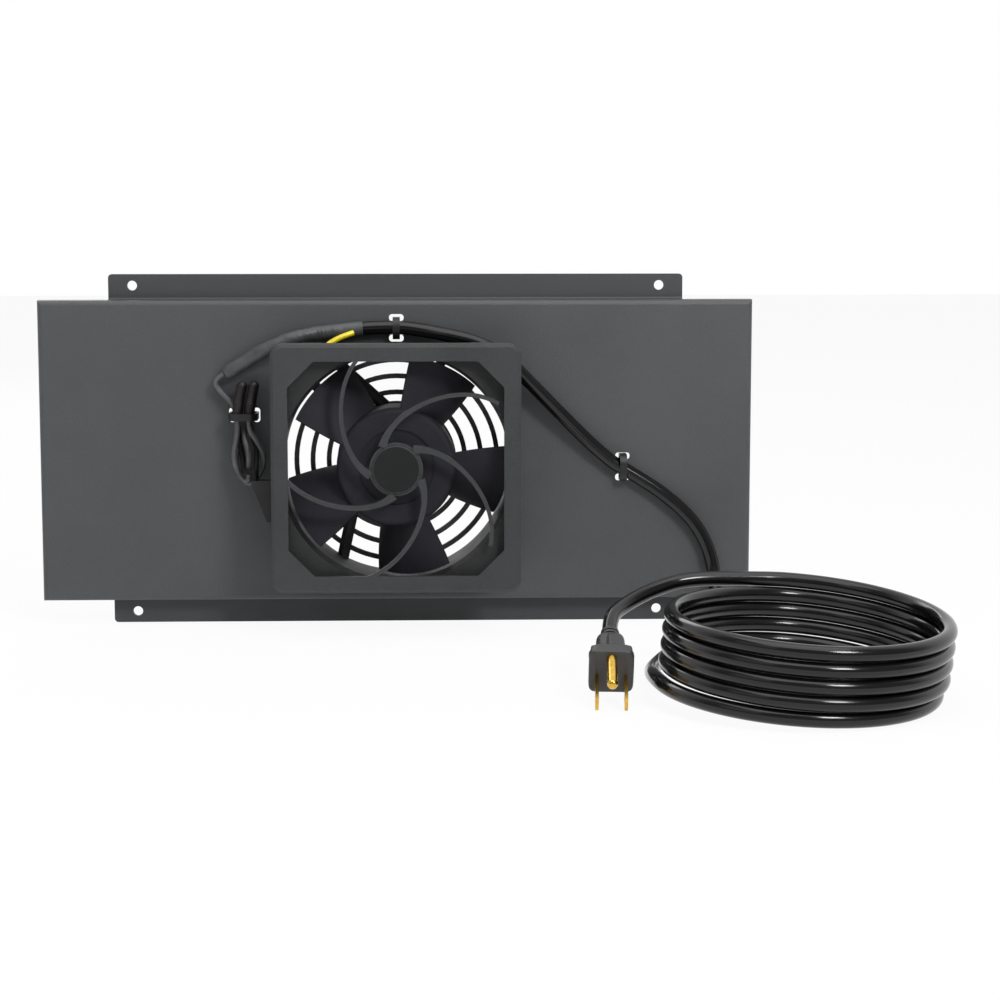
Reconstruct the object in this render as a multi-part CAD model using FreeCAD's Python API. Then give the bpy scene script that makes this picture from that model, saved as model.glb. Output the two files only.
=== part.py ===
import FreeCAD, Part
import math
import os
from FreeCAD import Vector

# Rack fan tray: a folded steel panel with one 120 mm axial fan, its clip-on guard and a mains lead.
# Millimetres.  X runs along the panel, +Y points to the surface that the flanges bolt to, +Z is up.
# The origin is the centre of the four mounting holes, on the rear face of the flanges.

# ---- folded panel ----
SHEET = 1.5                # steel gauge
BEND = 1.2                 # inner bend radius
BODY_WIDTH = 366.0         # raised body, over its side walls
BODY_HEIGHT = 155.0
PAN_DEPTH = 12.0           # from the flanges' rear face to the body's front face
WALL_SETBACK = 2.5         # side walls stop this far short of the mounting surface
FLANGE_SETBACK = 35.25     # each end of a flange, from the side of the body
FLANGE_HEIGHT = 13.0
FLANGE_CORNER = 2.0
MOUNT_INSET = 12.25        # mounting holes, from the ends of the flange
MOUNT_STANDOFF = 7.15      # and from the body's edge
MOUNT_HOLE = 5.0
RELIEF_WIDTH = 2.0         # bend relief at the ends of each flange
RELIEF_DEPTH = 4.0

# ---- stamped finger guard in the panel, behind the fan ----
FAN_Z = -4.5               # fan axis below the centre of the mounting holes
SLOT_MARGIN = 1.6          # outermost slots reach this far past the fan's duct
SLOT_WIDTH = 5.8
SLOT_PITCH = 8.3
SLOT_RINGS = 5
SLOT_END_RADIUS = 1.4
WEB_WIDTH = 5.0
WEB_COUNT = 5
WEB_ANGLE = 65.5           # first web, seen from the front, anticlockwise from +X

# ---- cable tie slots and ties ----
TIE_SLOT_LONG = 7.5
TIE_SLOT_SHORT = 3.6
TIE_SLOT_CORNER = 1.6
TIE_WIDTH = 3.6
TIE_THICKNESS = 1.1
TIE_HEAD = 5.2
TIE_HEAD_DEPTH = 3.6
TIE_HEAD_BEVEL = 0.7
TIE_BEHIND = 0.3           # strap behind the panel's rear face
TIE_FOLD = 0.6             # round of the strap behind the panel
TIE_TOP_RISE = 8.05        # top tie, above the fan
TIE_TOP_SPAN = 10.5        # between the centres of the tie's two slots
TIE_RIGHT = (116.4, -8.5)  # centre on the panel (x, z)
TIE_RIGHT_SPAN = 11.0
TIE_LEFT_ASIDE = 18.25     # left tie, outside the fan
TIE_LEFT_Z = 18.8
TIE_LEFT_SPAN = 12.4

# ---- fan housing ----
FAN_SIZE = 119.5
FAN_DEPTH = 38.5
FAN_CORNER = 8.0
FAN_FLANGE = 4.5           # thickness of the square end flanges
FAN_HOLE_INSET = 7.35      # corner holes, from the sides of the fan
FAN_HOLE = 4.4
DUCT_SETBACK = 2.75        # duct wall's inner face, from the side of the fan
DUCT_WALL = 2.6
INLET_FLARE = 1.6
INLET_FLARE_DEPTH = 5.0
STRUT_COUNT = 3
STRUT_ANGLE = 121.0        # where the first strut leaves the duct, seen from the front
STRUT_SWEEP = 21.0         # how far a strut turns clockwise on its way in to the motor base
STRUT_WIDTH = 6.0
STRUT_HEIGHT = 5.0
STRUT_NOSE = 2.0           # bevel on the edges that meet the air
BASE_RADIUS = 30.5
BASE_THICKNESS = 3.0
BASE_GAP = 0.6             # air between the motor base and the panel
BEARING_TUBE_RADIUS = 6.0
SCREW_SHANK = 4.2
SCREW_HEAD = 8.0
SCREW_HEAD_HEIGHT = 2.6
SCREW_RECESS = 1.9
SCREW_RECESS_ARM = 0.55    # length of a recess arm and round of the head, as shares of the head
SCREW_RECESS_WIDTH = 1.1
SCREW_POINT = 0.8          # the thread-forming screws stop this far short of the flange's face

# ---- impeller and motor ----
HUB_RADIUS = 30.0
HUB_WALL = 2.0
HUB_FRONT_GAP = 3.5        # hub face behind the housing's front plane
HUB_LENGTH = 27.5
HUB_ROUND = 3.0
HUB_DIMPLE_RADIUS = 19.0
HUB_DIMPLE = 0.8
SHAFT_RADIUS = 1.5
SHAFT_BOSS_RADIUS = 4.5
SHAFT_BOSS_LENGTH = 5.0
SHAFT_SEAT = 4.0           # how far the shaft reaches into the hub's boss
RUNNING_CLEARANCE = 0.03
TIP_CLEARANCE = 1.2
BLADE_COUNT = 5
BLADE_TRAIL_ROOT = 85.4    # trailing edge of the first blade at the hub, seen from the front,
BLADE_TRAIL_TURN = -0.11   # and its turn per mm of radius
BLADE_LEAD_ROOT = 39.0     # leading edge in the same way
BLADE_LEAD_TURN = 0.2
BLADE_HALF_ANGLE = 22.0    # half of a blade's angle about the axis, near enough for its edges' radius
BLADE_EDGE = 0.45          # thickness of a blade's edges, of its middle
BLADE_ROOT_AXIAL = 23.5    # depth of the blade along the axis, at the hub and at the tip
BLADE_TIP_AXIAL = 20.0
BLADE_FRONT_INSET = 1.4    # blade's front edge behind the hub face, at the hub
BLADE_ROOT_THICKNESS = 2.2
BLADE_TIP_THICKNESS = 1.5
BLADE_CAMBER = 0.11        # of the chord
BLADE_STATIONS = (-0.2, 0.33, 1.02)   # sections of a blade, as shares of its span
BEARING_RADIUS = 4.0
BEARING_WIDTH = 4.0
BEARING_INNER_RACE = 2.3
BEARING_SHIELD_STEP = 0.3
BEARING_RIM = 0.7          # outer race beside the shields
TUBE_CLEARANCE = 1.5       # bearing tube's bore round the shaft
TUBE_FLOOR = 1.2           # closed rear end of the bearing tube
TUBE_AHEAD = 1.2           # bearing tube, ahead of the stack
STACK_INSET = 6.5          # rear of the stack, inside the hub's rim
CAGE_OVERHANG = 1.5        # rotor ring beyond each end of the stack
SHAFT_BEVEL = 0.3
CLIP_PLAY = 0.1            # between the clip and the rear bearing
FRONT_BEARING_INSET = 0.6  # bearing face inside the end of its tube
REAR_BEARING_Y = 5.0       # from the rear of the housing to the rear bearing
STATOR_RADIUS = 21.0
STATOR_STACK = 12.0
STATOR_POLES = 4
STATOR_SLOT_WIDTH = 4.0
STATOR_POLE_WIDTH = 12.0
STATOR_YOKE_RADIUS = 10.5
STATOR_TIP_RADIUS = 17.5   # inside of the pole tips
WINDING_OVERHANG = 2.4
WINDING_CLEARANCE = 0.3
WINDING_THICKNESS = 1.8
AIR_GAP = 0.6
CLIP_RADIUS = 3.2
CLIP_THICKNESS = 0.6
CLIP_GROOVE = 0.25
CLIP_OPENING = 2.0
SHAFT_END = 1.6            # shaft length behind the clip
TERMINAL_THICKNESS = 0.6
TERMINAL_WIDTH = 2.8
TERMINAL_LENGTH = 6.3
TERMINAL_SPACING = 6.0
TERMINAL_Z = -18.2         # terminal block, from the fan axis
TERMINAL_DEPTH = 22.0      # terminals, from the rear of the housing
TERMINAL_BLOCK = (5.0, 12.0, 9.0)
TERMINAL_NOSE = 0.7

# ---- clip-on guard ----
GUARD_CLEARANCE = 0.6      # between the guard's skirt and the fan
GUARD_CORNER = 6.5
GUARD_FRONT = 7.0          # front face of the guard, ahead of the housing's front plane
GUARD_PLATE = 2.6
GUARD_WALL = 1.9
GUARD_BEVEL = 1.6
GUARD_RIM = 8.5            # width of the frame round the opening
GUARD_OPENING_CHAMFER = 13.0
GUARD_SEAT = 1.6           # height of the inner rim that rests on the fan's front flange
SPOKE_COUNT = 5
SPOKE_DEPTH = 3.0
GUARD_HUB_RADIUS = 12.0
GUARD_BOSS_RADIUS = 13.4
GUARD_DISC_RISE = 0.6      # disc ahead of the guard's face, with a round of the same size
GUARD_BOSS_INSET = 0.8     # boss behind the guard's face
GUARD_OPENING_ROUND = 1.5
HOOK_WIDTH = 10.0
HOOK_INSET = 20.25         # hooks from the guard's corners
HOOK_CATCH = 1.6
HOOK_GAP = 0.3
HOOK_HEIGHT = 2.0
SPOKE_ROOT = 1.0           # a spoke starts this far outside the disc's radius
SPOKE_LANDING = 6.85       # and ends this far past the edge of the opening
# one spoke's centre line: share of the way out, angle seen from the front, and width
SPOKE_LINE = ((0.0, 121.0, 4.6), (0.074, 108.5, 3.6), (0.307, 80.5, 2.5), (0.565, 61.0, 2.1),
              (0.803, 46.5, 2.0), (1.0, 32.6, 2.0))

# ---- mains lead ----
CORD = 7.0                 # outer diameter of the jacket
BEND_SHARE = 0.45          # share of the shorter run that each bend of a lead takes up
COIL_TURNS = 5
COIL_RADIUS_X = 60.7       # middle of the turns, across and from front to back
COIL_RADIUS_Y = 64.5
COIL_SPREAD = 4.5          # how far the loose turns reach outside that line, with their thickness
COIL_CORE = 6.0            # and inside it
COIL_BOTTOM = (177.5, -208.3)
COIL_TOP = (182.0, -208.3)
COIL_LOW = 36.0            # height of the coil on its front right and on its back left side
COIL_HIGH = 50.5
COIL_LIFT = 12.0           # gap under its high side, where the lead passes
COIL_LEAN = 140.0          # direction of the high side, seen from above

# ---- sleeved wires on the left of the fan ----
SLEEVE = 7.8
SLEEVE_MOUTH = 3.0         # tapered end of the sleeve
SLEEVE_MOUTH_RADIUS = 2.9
WIRE = 2.6
WIRE_PAIR = 1.45           # the two wires leave the sleeve this far before and behind its middle
WIRE_EXIT = 6.0            # straight length of a wire where it leaves the sleeve
GROUND_WIRE = 2.8
CAP_RADIUS = 2.95          # closed-end wire connectors
CAP_LENGTH = 20.5
CAP_SPACING = 6.0
CAP_ASIDE = 0.2            # caps, right of the middle of their tie
CAP_DOME = 0.75            # of the cap's radius
CAP_Y = -23.4
CAP_BOTTOM_Z = 16.6
CAP_WIRE_OFFSET = 1.5      # the two wires in a cap lie this far before and behind its centre
CAP_WIRE_STRAIGHT = 5.0    # straight length of a wire below its cap
CONNECTOR = (12.4, 10.0, 21.0)
CONNECTOR_BEVEL = (7.6, 19.0)   # slant of its outer lower corner, across and up
CONNECTOR_CORNER = 0.6
CONNECTOR_GAP = 0.3        # between the connector and the terminal block
TERMINAL_FIT = 0.2         # clearance round each terminal in the connector
CONNECTOR_WIRE = 7.0       # straight length of a wire above the connector
GROUND_ANGLE = 140.0       # ground screw on the duct wall, seen from the front
GROUND_DEPTH = 24.0        # from the rear of the housing
GROUND_PAD = 2.0
GROUND_SCREW = 3.2
GROUND_THREAD = 3.0        # length of thread in the pad
GROUND_HEAD = 6.0
GROUND_HEAD_HEIGHT = 2.0
RING_RADIUS = 3.6
RING_THICKNESS = 0.8
RING_HOLE_CLEARANCE = 0.1
RING_BARREL = 5.0
RING_BARREL_RADIUS = 1.9
RING_BARREL_RISE = 1.1      # barrel's middle above the middle of the ring
RING_NECK = 1.5            # gap between the ring and the barrel, bridged by the neck
RING_NECK_WIDTH = 3.0
GROUND_PAD_MARGIN = 0.6
GROUND_WIRE_STRAIGHT = 6.0
GROUND_CROWN = 0.6         # of the head's height

# ---- plug ----
PLUG_BODY_WIDTH = 20.0
PLUG_BODY_HEIGHT = 22.5
PLUG_BODY_LENGTH = 10.0     # face block with its shoulder
PLUG_SHOULDER = 4.0
PLUG_BODY_ROUND = 1.2      # round of the face's rim
PLUG_BODY_CORNER = 4.5
PLUG_NECK_WIDTH = 13.4
PLUG_NECK_LENGTH = 9.5
PLUG_NECK_CORNER = 4.5
PLUG_NECK_TAPER = 1.4      # narrower at the cord's end
PLUG_GRIP_RIBS = 4
PLUG_RIB = 0.5             # height of the grip ribs
PLUG_RIB_PITCH = 2.0
RELIEF_LENGTH = 10.5
RELIEF_RADIUS_FRONT = 5.0
RELIEF_RADIUS_REAR = 4.1
RELIEF_GROOVES = 3
RELIEF_GROOVE_WIDTH = 1.0
RELIEF_GROOVE_FLOOR = 0.2  # above the cord's jacket
BLADE_SPACING = 12.7
BLADE_DROP = 4.4           # blades below the plug's axis
PIN_RISE = 7.4             # ground pin above the plug's axis
BLADE_THICKNESS = 1.5
BLADE_HEIGHT = 6.4
PRONG_LENGTH = 17.6
PIN_DIAMETER = 4.75
PIN_EXTRA = 3.0            # the ground pin is longer than the blades
PRONG_SEAT = 3.0           # length of each prong inside the plug
PRONG_BEVEL = 0.45
PRONG_HOLE = 3.0
PRONG_HOLE_INSET = 4.0     # hole's middle from the tip

# ---- values that follow from the ones above ----
FACE_Y = -PAN_DEPTH
HOUSING_FRONT = FACE_Y - FAN_DEPTH
GUARD_FACE = HOUSING_FRONT - GUARD_FRONT
HUB_FACE = HOUSING_FRONT + HUB_FRONT_GAP
HUB_REAR = HUB_FACE + HUB_LENGTH
BASE_REAR = FACE_Y - BASE_GAP
BASE_FRONT = BASE_REAR - BASE_THICKNESS
BORE_RADIUS = SHAFT_RADIUS + RUNNING_CLEARANCE
STATOR_REAR = HUB_REAR - STACK_INSET
STATOR_FRONT = STATOR_REAR - STATOR_STACK
TUBE_FRONT = STATOR_FRONT - TUBE_AHEAD
FRONT_BEARING_FACE = TUBE_FRONT + FRONT_BEARING_INSET
REAR_BEARING_FACE = FACE_Y - REAR_BEARING_Y
FLOOR = -(BODY_HEIGHT / 2 + FLANGE_HEIGHT)
FLANGE_WIDTH = BODY_WIDTH - 2 * FLANGE_SETBACK
MOUNT_SPACING_X = FLANGE_WIDTH - 2 * MOUNT_INSET
MOUNT_SPACING_Z = BODY_HEIGHT + 2 * MOUNT_STANDOFF
FAN_SIDE = FAN_SIZE / 2
FAN_TOP = FAN_Z + FAN_SIDE
FAN_HOLE_SPACING = FAN_SIZE - 2 * FAN_HOLE_INSET
DUCT_RADIUS = FAN_SIDE - DUCT_SETBACK
TIP_RADIUS = DUCT_RADIUS - TIP_CLEARANCE
SLOT_OUTER_RADIUS = DUCT_RADIUS + SLOT_MARGIN
GUARD_SIZE = FAN_SIZE + 2 * (GUARD_CLEARANCE + GUARD_WALL)
GUARD_OPENING = GUARD_SIZE - 2 * GUARD_RIM
HOOK_PLACE = GUARD_SIZE / 2 - HOOK_INSET
TIE_TOP = (0.0, FAN_TOP + TIE_TOP_RISE)
TIE_LEFT = (-FAN_SIDE - TIE_LEFT_ASIDE, TIE_LEFT_Z)

# ---- routes of the lead and the wires ----
# The lead leaves the sleeve beside the top tie, rounds the fan's corner between its flanges and runs
# down the panel to the floor, where it passes under the back of the coil.
LEAD_ROUTE = ((-17.0, -16.2, FAN_TOP + 7.95), (-2.0, -16.2, FAN_TOP + 9.0),
              (14.0, -17.0, FAN_TOP + 7.05), (28.0, -21.8, FAN_TOP + 4.55),
              (42.0, -23.8, FAN_TOP + 1.15), (FAN_SIDE - 5.75, -24.0, FAN_TOP - 5.25),
              (FAN_SIDE + 5.25, -22.5, FAN_TOP - 16.25), (106.0, -16.0, -3.0),
              (121.0, -15.9, -11.6), (138.0, -15.8, -22.4), (153.5, -15.9, -36.5),
              (161.8, -16.2, -52.0), (164.5, -19.0, -68.0), (163.5, -29.0, -81.5),
              (160.0, -45.0, -86.9), (149.1, -75.1, -86.9), (135.1, -103.9, -86.9),
              (124.2, -134.0, -86.9), (117.1, -167.3, -84.6), (116.0, -207.3, -80.1))
# From the back of the coil's top turn to the plug, which stands on the tips of its prongs.
TAIL_ROUTE = ((167.0, -143.9, -46.2), (136.0, -143.9, -46.0), (119.0, -151.2, -50.0),
              (105.3, -162.8, -54.8), (97.2, -175.8, -58.4), (96.6, -187.1, -63.58))
# The sleeve rounds the fan's other corner and ends at the fold, where its wires turn back to the tie.
SLEEVE_ROUTE = (LEAD_ROUTE[0], (-34.0, -16.2, FAN_TOP + 6.76), (9.75 - FAN_SIDE, -20.3, FAN_TOP + 4.55),
                (-5.25 - FAN_SIDE, -21.2, FAN_TOP - 1.35), (-15.75 - FAN_SIDE, -18.0, FAN_TOP - 7.65),
                (-25.45 - FAN_SIDE, -18.0, FAN_TOP - 13.35))
# Two supply wires hang in a loop below the left tie and come up into the caps; the fan's own leads
# go from the caps to its connector.
SUPPLY_LINE_ROUTE = ((-83.0, -15.2, 23.6), (-80.8, -15.8, 13.0), (-83.4, -16.4, -1.0),
                     (-78.6, -17.0, -12.6), (-72.4, -17.4, -12.9), (-67.2, -18.4, -2.5),
                     (-69.0, -20.0, 6.0))
SUPPLY_NEUTRAL_ROUTE = ((-83.0, -18.3, 23.0), (-78.2, -18.4, 12.5), (-76.0, -19.6, -4.0),
                        (-76.6, -20.4, -12.6), (-82.6, -21.2, -12.2), (-82.4, -21.8, -2.0))
FAN_LINE_ROUTE = ((-69.6, -26.0, 6.0), (-67.2, -29.0, 1.5))
FAN_NEUTRAL_ROUTE = ((-73.4, -28.0, 6.0), (-68.6, -33.6, 1.0))
GROUND_ROUTE = ((-21.7, -21.2, FAN_TOP + 6.15), (-28.2, -23.4, FAN_TOP + 4.05),
                (-35.2, -27.0, FAN_TOP + 0.35))


def polar(radius, angle, y=0.0):
    """Point at a radius and an angle about the fan axis, seen from the front."""
    turn = math.radians(angle)
    return Vector(radius * math.cos(turn), y, FAN_Z + radius * math.sin(turn))


def cylinder_y(radius, front, rear, x=0.0, z=FAN_Z):
    """Cylinder along Y between two planes."""
    return Part.makeCylinder(radius, rear - front, Vector(x, front, z), Vector(0, 1, 0))


def ring_y(outer, inner, front, rear, x=0.0, z=FAN_Z):
    return cylinder_y(outer, front, rear, x, z).cut(cylinder_y(inner, front, rear, x, z))


def about_axis(shape, angle):
    """Copy of a shape turned about the fan axis, anticlockwise seen from the front."""
    turned = shape.copy()
    turned.rotate(Vector(0, 0, FAN_Z), Vector(0, -1, 0), angle)
    return turned


def bend(before, corner, after, radius):
    """Start, middle and end of the arc that rounds a corner."""
    to_before = (before - corner).normalize()
    to_after = (after - corner).normalize()
    half = to_before.getAngle(to_after) / 2
    setback = radius / math.tan(half)
    centre = corner + (to_before + to_after).normalize() * (radius / math.sin(half))
    middle = centre + (corner - centre).normalize() * radius
    return corner + to_before * setback, middle, corner + to_after * setback


def outline(points, radii):
    """Closed wire of straight edges with a round of its own at each corner."""
    edges = []
    count = len(points)
    ends = []
    for i, point in enumerate(points):
        if radii[i] > 0:
            start, middle, end = bend(points[i - 1], point, points[(i + 1) % count], radii[i])
            edges.append(Part.Arc(start, middle, end).toShape())
            ends.append((start, end))
        else:
            ends.append((point, point))
    for i in range(count):
        leave = ends[i][1]
        arrive = ends[(i + 1) % count][0]
        if leave.distanceToPoint(arrive) > 1e-6:
            edges.append(Part.LineSegment(leave, arrive).toShape())
    return Part.Wire(Part.__sortEdges__(edges))


def extrude(wire, direction):
    return Part.Face(wire).extrude(direction)


def rectangle_y(width, height, corner, front, rear, x=0.0, z=FAN_Z):
    """Rectangle with round corners in the XZ plane, extruded along Y."""
    half_w = width / 2
    half_h = height / 2
    points = [Vector(x - half_w, front, z - half_h), Vector(x + half_w, front, z - half_h),
              Vector(x + half_w, front, z + half_h), Vector(x - half_w, front, z + half_h)]
    return extrude(outline(points, [corner] * 4), Vector(0, rear - front, 0))


def bent_path(points):
    """Open wire of straight runs joined by tangent arcs, and the radii of those arcs."""
    edges = []
    radii = []
    here = points[0]
    for before, corner, after in zip(points, points[1:], points[2:]):
        turn = (corner - before).getAngle(after - corner)
        shorter = min((corner - before).Length, (after - corner).Length)
        radius = BEND_SHARE * shorter / math.tan(turn / 2)
        start, middle, end = bend(before, corner, after, radius)
        edges.append(Part.LineSegment(here, start).toShape())
        edges.append(Part.Arc(start, middle, end).toShape())
        radii.append(radius)
        here = end
    edges.append(Part.LineSegment(here, points[-1]).toShape())
    return Part.Wire(edges), radii


def tube(name, points, diameter):
    """Round tube along a bent path; prints its length, tightest bend and volume ratio."""
    points = [Vector(*point) for point in points]
    path, radii = bent_path(points)
    section = Part.Wire(Part.Circle(points[0], points[1] - points[0], diameter / 2).toShape())
    solid = path.makePipeShell([section], True, False)
    if solid.Volume < 0:
        solid.reverse()
    ratio = solid.Volume / (math.pi * diameter ** 2 / 4 * path.Length)
    print(name, "length", round(path.Length, 1), "radii", [round(radius, 1) for radius in radii],
          "volume ratio", round(ratio, 4))
    return solid


# ---- panel ----
def hat_section():
    """Section of the folded panel through both flanges, in the YZ plane."""
    body = BODY_HEIGHT / 2
    tip = body + FLANGE_HEIGHT
    inside = body - SHEET
    outer_bend = BEND + SHEET
    corners = ((0, -tip, 0), (0, -inside, outer_bend), (FACE_Y + SHEET, -inside, BEND),
               (FACE_Y + SHEET, inside, BEND), (0, inside, outer_bend), (0, tip, 0),
               (-SHEET, tip, 0), (-SHEET, body, BEND), (FACE_Y, body, outer_bend),
               (FACE_Y, -body, outer_bend), (-SHEET, -body, BEND), (-SHEET, -tip, 0))
    points = [Vector(-FLANGE_WIDTH / 2, y, z) for y, z, radius in corners]
    return outline(points, [radius for y, z, radius in corners])


def pan_block(inset):
    """Solid with the outline of the raised body, inset on every side but the rear."""
    radius = BEND + SHEET - inset
    half_w = BODY_WIDTH / 2 - inset
    half_h = BODY_HEIGHT / 2 - inset
    front = FACE_Y + inset
    rear = -WALL_SETBACK
    across = outline([Vector(-half_w, rear, -half_h), Vector(-half_w, front, -half_h),
                      Vector(half_w, front, -half_h), Vector(half_w, rear, -half_h)],
                     [0, radius, radius, 0])
    upright = outline([Vector(-half_w, rear, -half_h), Vector(-half_w, front, -half_h),
                       Vector(-half_w, front, half_h), Vector(-half_w, rear, half_h)],
                      [0, radius, radius, 0])
    return extrude(across, Vector(0, 0, 2 * half_h)).common(extrude(upright, Vector(2 * half_w, 0, 0)))


def arc_slots():
    """Cutters for the rings of curved slots, parted by straight webs."""
    reach = SLOT_OUTER_RADIUS + SHEET
    webs = Part.makeBox(reach, PAN_DEPTH, WEB_WIDTH, Vector(0, -2 * PAN_DEPTH, FAN_Z - WEB_WIDTH / 2))
    webs.translate(Vector(0, PAN_DEPTH / 2, 0))
    cutters = []
    for k in range(SLOT_RINGS):
        outer = SLOT_OUTER_RADIUS - k * SLOT_PITCH
        ring = ring_y(outer, outer - SLOT_WIDTH, FACE_Y - SHEET, FACE_Y + 2 * SHEET)
        for i in range(WEB_COUNT):
            ring = ring.cut(about_axis(webs, WEB_ANGLE + i * 360 / WEB_COUNT))
        for slot in ring.Solids:
            ends = [edge for edge in slot.Edges if len(edge.Vertexes) == 2
                    and abs(edge.tangentAt(edge.FirstParameter).y) > 0.99]
            cutters.append(slot.makeFillet(SLOT_END_RADIUS, ends))
    return cutters


def tie_slots():
    """Cutters for the pairs of slots that the cable ties pass through."""
    cutters = []
    front = FACE_Y - SHEET
    rear = FACE_Y + 2 * SHEET
    for side in (-0.5, 0.5):
        for (x, z), span in ((TIE_TOP, TIE_TOP_SPAN), (TIE_RIGHT, TIE_RIGHT_SPAN)):
            cutters.append(rectangle_y(TIE_SLOT_LONG, TIE_SLOT_SHORT, TIE_SLOT_CORNER, front, rear,
                                       x, z + side * span))
        x, z = TIE_LEFT
        cutters.append(rectangle_y(TIE_SLOT_SHORT, TIE_SLOT_LONG, TIE_SLOT_CORNER, front, rear,
                                   x + side * TIE_LEFT_SPAN, z))
    return cutters


def corner_points(spacing_x, spacing_z, z=0.0):
    return [(sx * spacing_x / 2, z + sz * spacing_z / 2) for sx in (-1, 1) for sz in (-1, 1)]


def tray_panel():
    panel = extrude(hat_section(), Vector(FLANGE_WIDTH, 0, 0))
    pan = pan_block(0.0).cut(pan_block(SHEET))
    panel = panel.fuse(pan).removeSplitter()
    tips = [edge for edge in panel.Edges if abs(edge.tangentAt(edge.FirstParameter).y) > 0.99
            and abs(abs(edge.CenterOfMass.z) + FLOOR) < 1e-3]
    panel = panel.makeFillet(FLANGE_CORNER, tips)
    cutters = arc_slots() + tie_slots()
    for x, z in corner_points(MOUNT_SPACING_X, MOUNT_SPACING_Z):
        cutters.append(cylinder_y(MOUNT_HOLE / 2, -2 * SHEET, SHEET, x, z))
    for x, z in corner_points(FAN_HOLE_SPACING, FAN_HOLE_SPACING, FAN_Z):
        cutters.append(cylinder_y(FAN_HOLE / 2, FACE_Y - SHEET, FACE_Y + 2 * SHEET, x, z))
    for sx in (-1, 1):
        for sz in (-1, 1):
            x = sx * (FLANGE_WIDTH + RELIEF_WIDTH) / 2
            z = sz * (BODY_HEIGHT - SHEET) / 2
            notch = rectangle_y(RELIEF_WIDTH, 2 * SHEET + BEND, RELIEF_WIDTH / 2 - 0.01,
                                -RELIEF_DEPTH, SHEET, x, z)
            cutters.append(notch)
    return panel.cut(Part.makeCompound(cutters))


# ---- fan housing ----
def strut():
    """Slanted strut from the duct wall to the motor base, bevelled towards the air."""
    outer = polar(DUCT_RADIUS + DUCT_WALL / 2, STRUT_ANGLE, BASE_REAR)
    inner = polar(BASE_RADIUS - STRUT_WIDTH / 2, STRUT_ANGLE - STRUT_SWEEP, BASE_REAR)
    along = inner - outer
    side = along.cross(Vector(0, 1, 0)).normalize() * (STRUT_WIDTH / 2)
    top = Vector(0, -STRUT_HEIGHT, 0)
    bevel = Vector(0, STRUT_NOSE, 0)
    inset = side * (2 * STRUT_NOSE / STRUT_WIDTH)
    section = [outer - side, outer + side, outer + side + top + bevel, outer + side + top - inset,
               outer - side + top + inset, outer - side + top + bevel]
    return extrude(outline(section, [0] * len(section)), along)


def fan_housing():
    flange_front = HOUSING_FRONT + FAN_FLANGE
    housing = rectangle_y(FAN_SIZE, FAN_SIZE, FAN_CORNER, HOUSING_FRONT, flange_front)
    housing = housing.fuse(rectangle_y(FAN_SIZE, FAN_SIZE, FAN_CORNER, FACE_Y - FAN_FLANGE, FACE_Y))
    housing = housing.fuse(cylinder_y(DUCT_RADIUS + DUCT_WALL, HOUSING_FRONT, FACE_Y))
    block_x, block_y, block_z = TERMINAL_BLOCK
    duct_edge = -math.sqrt((DUCT_RADIUS + DUCT_WALL / 2) ** 2 - TERMINAL_Z ** 2)
    block = Part.makeBox(block_x, block_y, block_z,
                         Vector(duct_edge - block_x, FACE_Y - TERMINAL_DEPTH - block_y / 2,
                                FAN_Z + TERMINAL_Z - block_z / 2))
    foot = Part.makeBox(block_x, block_y, block_z / 2, Vector(duct_edge, block.BoundBox.YMin,
                                                              FAN_Z + TERMINAL_Z))
    pad = Part.makeCylinder(RING_RADIUS + GROUND_PAD_MARGIN, DUCT_WALL / 2 + GROUND_PAD,
                            polar(DUCT_RADIUS + DUCT_WALL / 2, GROUND_ANGLE, FACE_Y - GROUND_DEPTH),
                            polar(1, GROUND_ANGLE) - polar(0, GROUND_ANGLE))
    housing = housing.fuse([block, foot, pad])
    housing = housing.cut(cylinder_y(DUCT_RADIUS, HOUSING_FRONT - 1, FACE_Y + 1))
    flare = Part.makeCone(DUCT_RADIUS + INLET_FLARE, DUCT_RADIUS, INLET_FLARE_DEPTH,
                          Vector(0, HOUSING_FRONT, FAN_Z), Vector(0, 1, 0))
    housing = housing.cut(flare)
    struts = [about_axis(strut(), i * 360 / STRUT_COUNT) for i in range(STRUT_COUNT)]
    base = cylinder_y(BASE_RADIUS, BASE_FRONT, BASE_REAR)
    tube_y = cylinder_y(BEARING_TUBE_RADIUS, TUBE_FRONT, BASE_REAR)
    housing = housing.fuse(struts + [base, tube_y])
    housing = housing.cut(cylinder_y(SHAFT_RADIUS + TUBE_CLEARANCE, TUBE_FRONT, BASE_REAR - TUBE_FLOOR))
    seats = [cylinder_y(BEARING_RADIUS, TUBE_FRONT, FRONT_BEARING_FACE + BEARING_WIDTH),
             cylinder_y(BEARING_RADIUS, REAR_BEARING_FACE - BEARING_WIDTH, BASE_REAR - TUBE_FLOOR)]
    for x, z in corner_points(FAN_HOLE_SPACING, FAN_HOLE_SPACING, FAN_Z):
        seats.append(cylinder_y(FAN_HOLE / 2, HOUSING_FRONT - 1, FACE_Y + 1, x, z))
    seats.append(ground_shank())
    return housing.cut(seats).removeSplitter()


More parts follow.
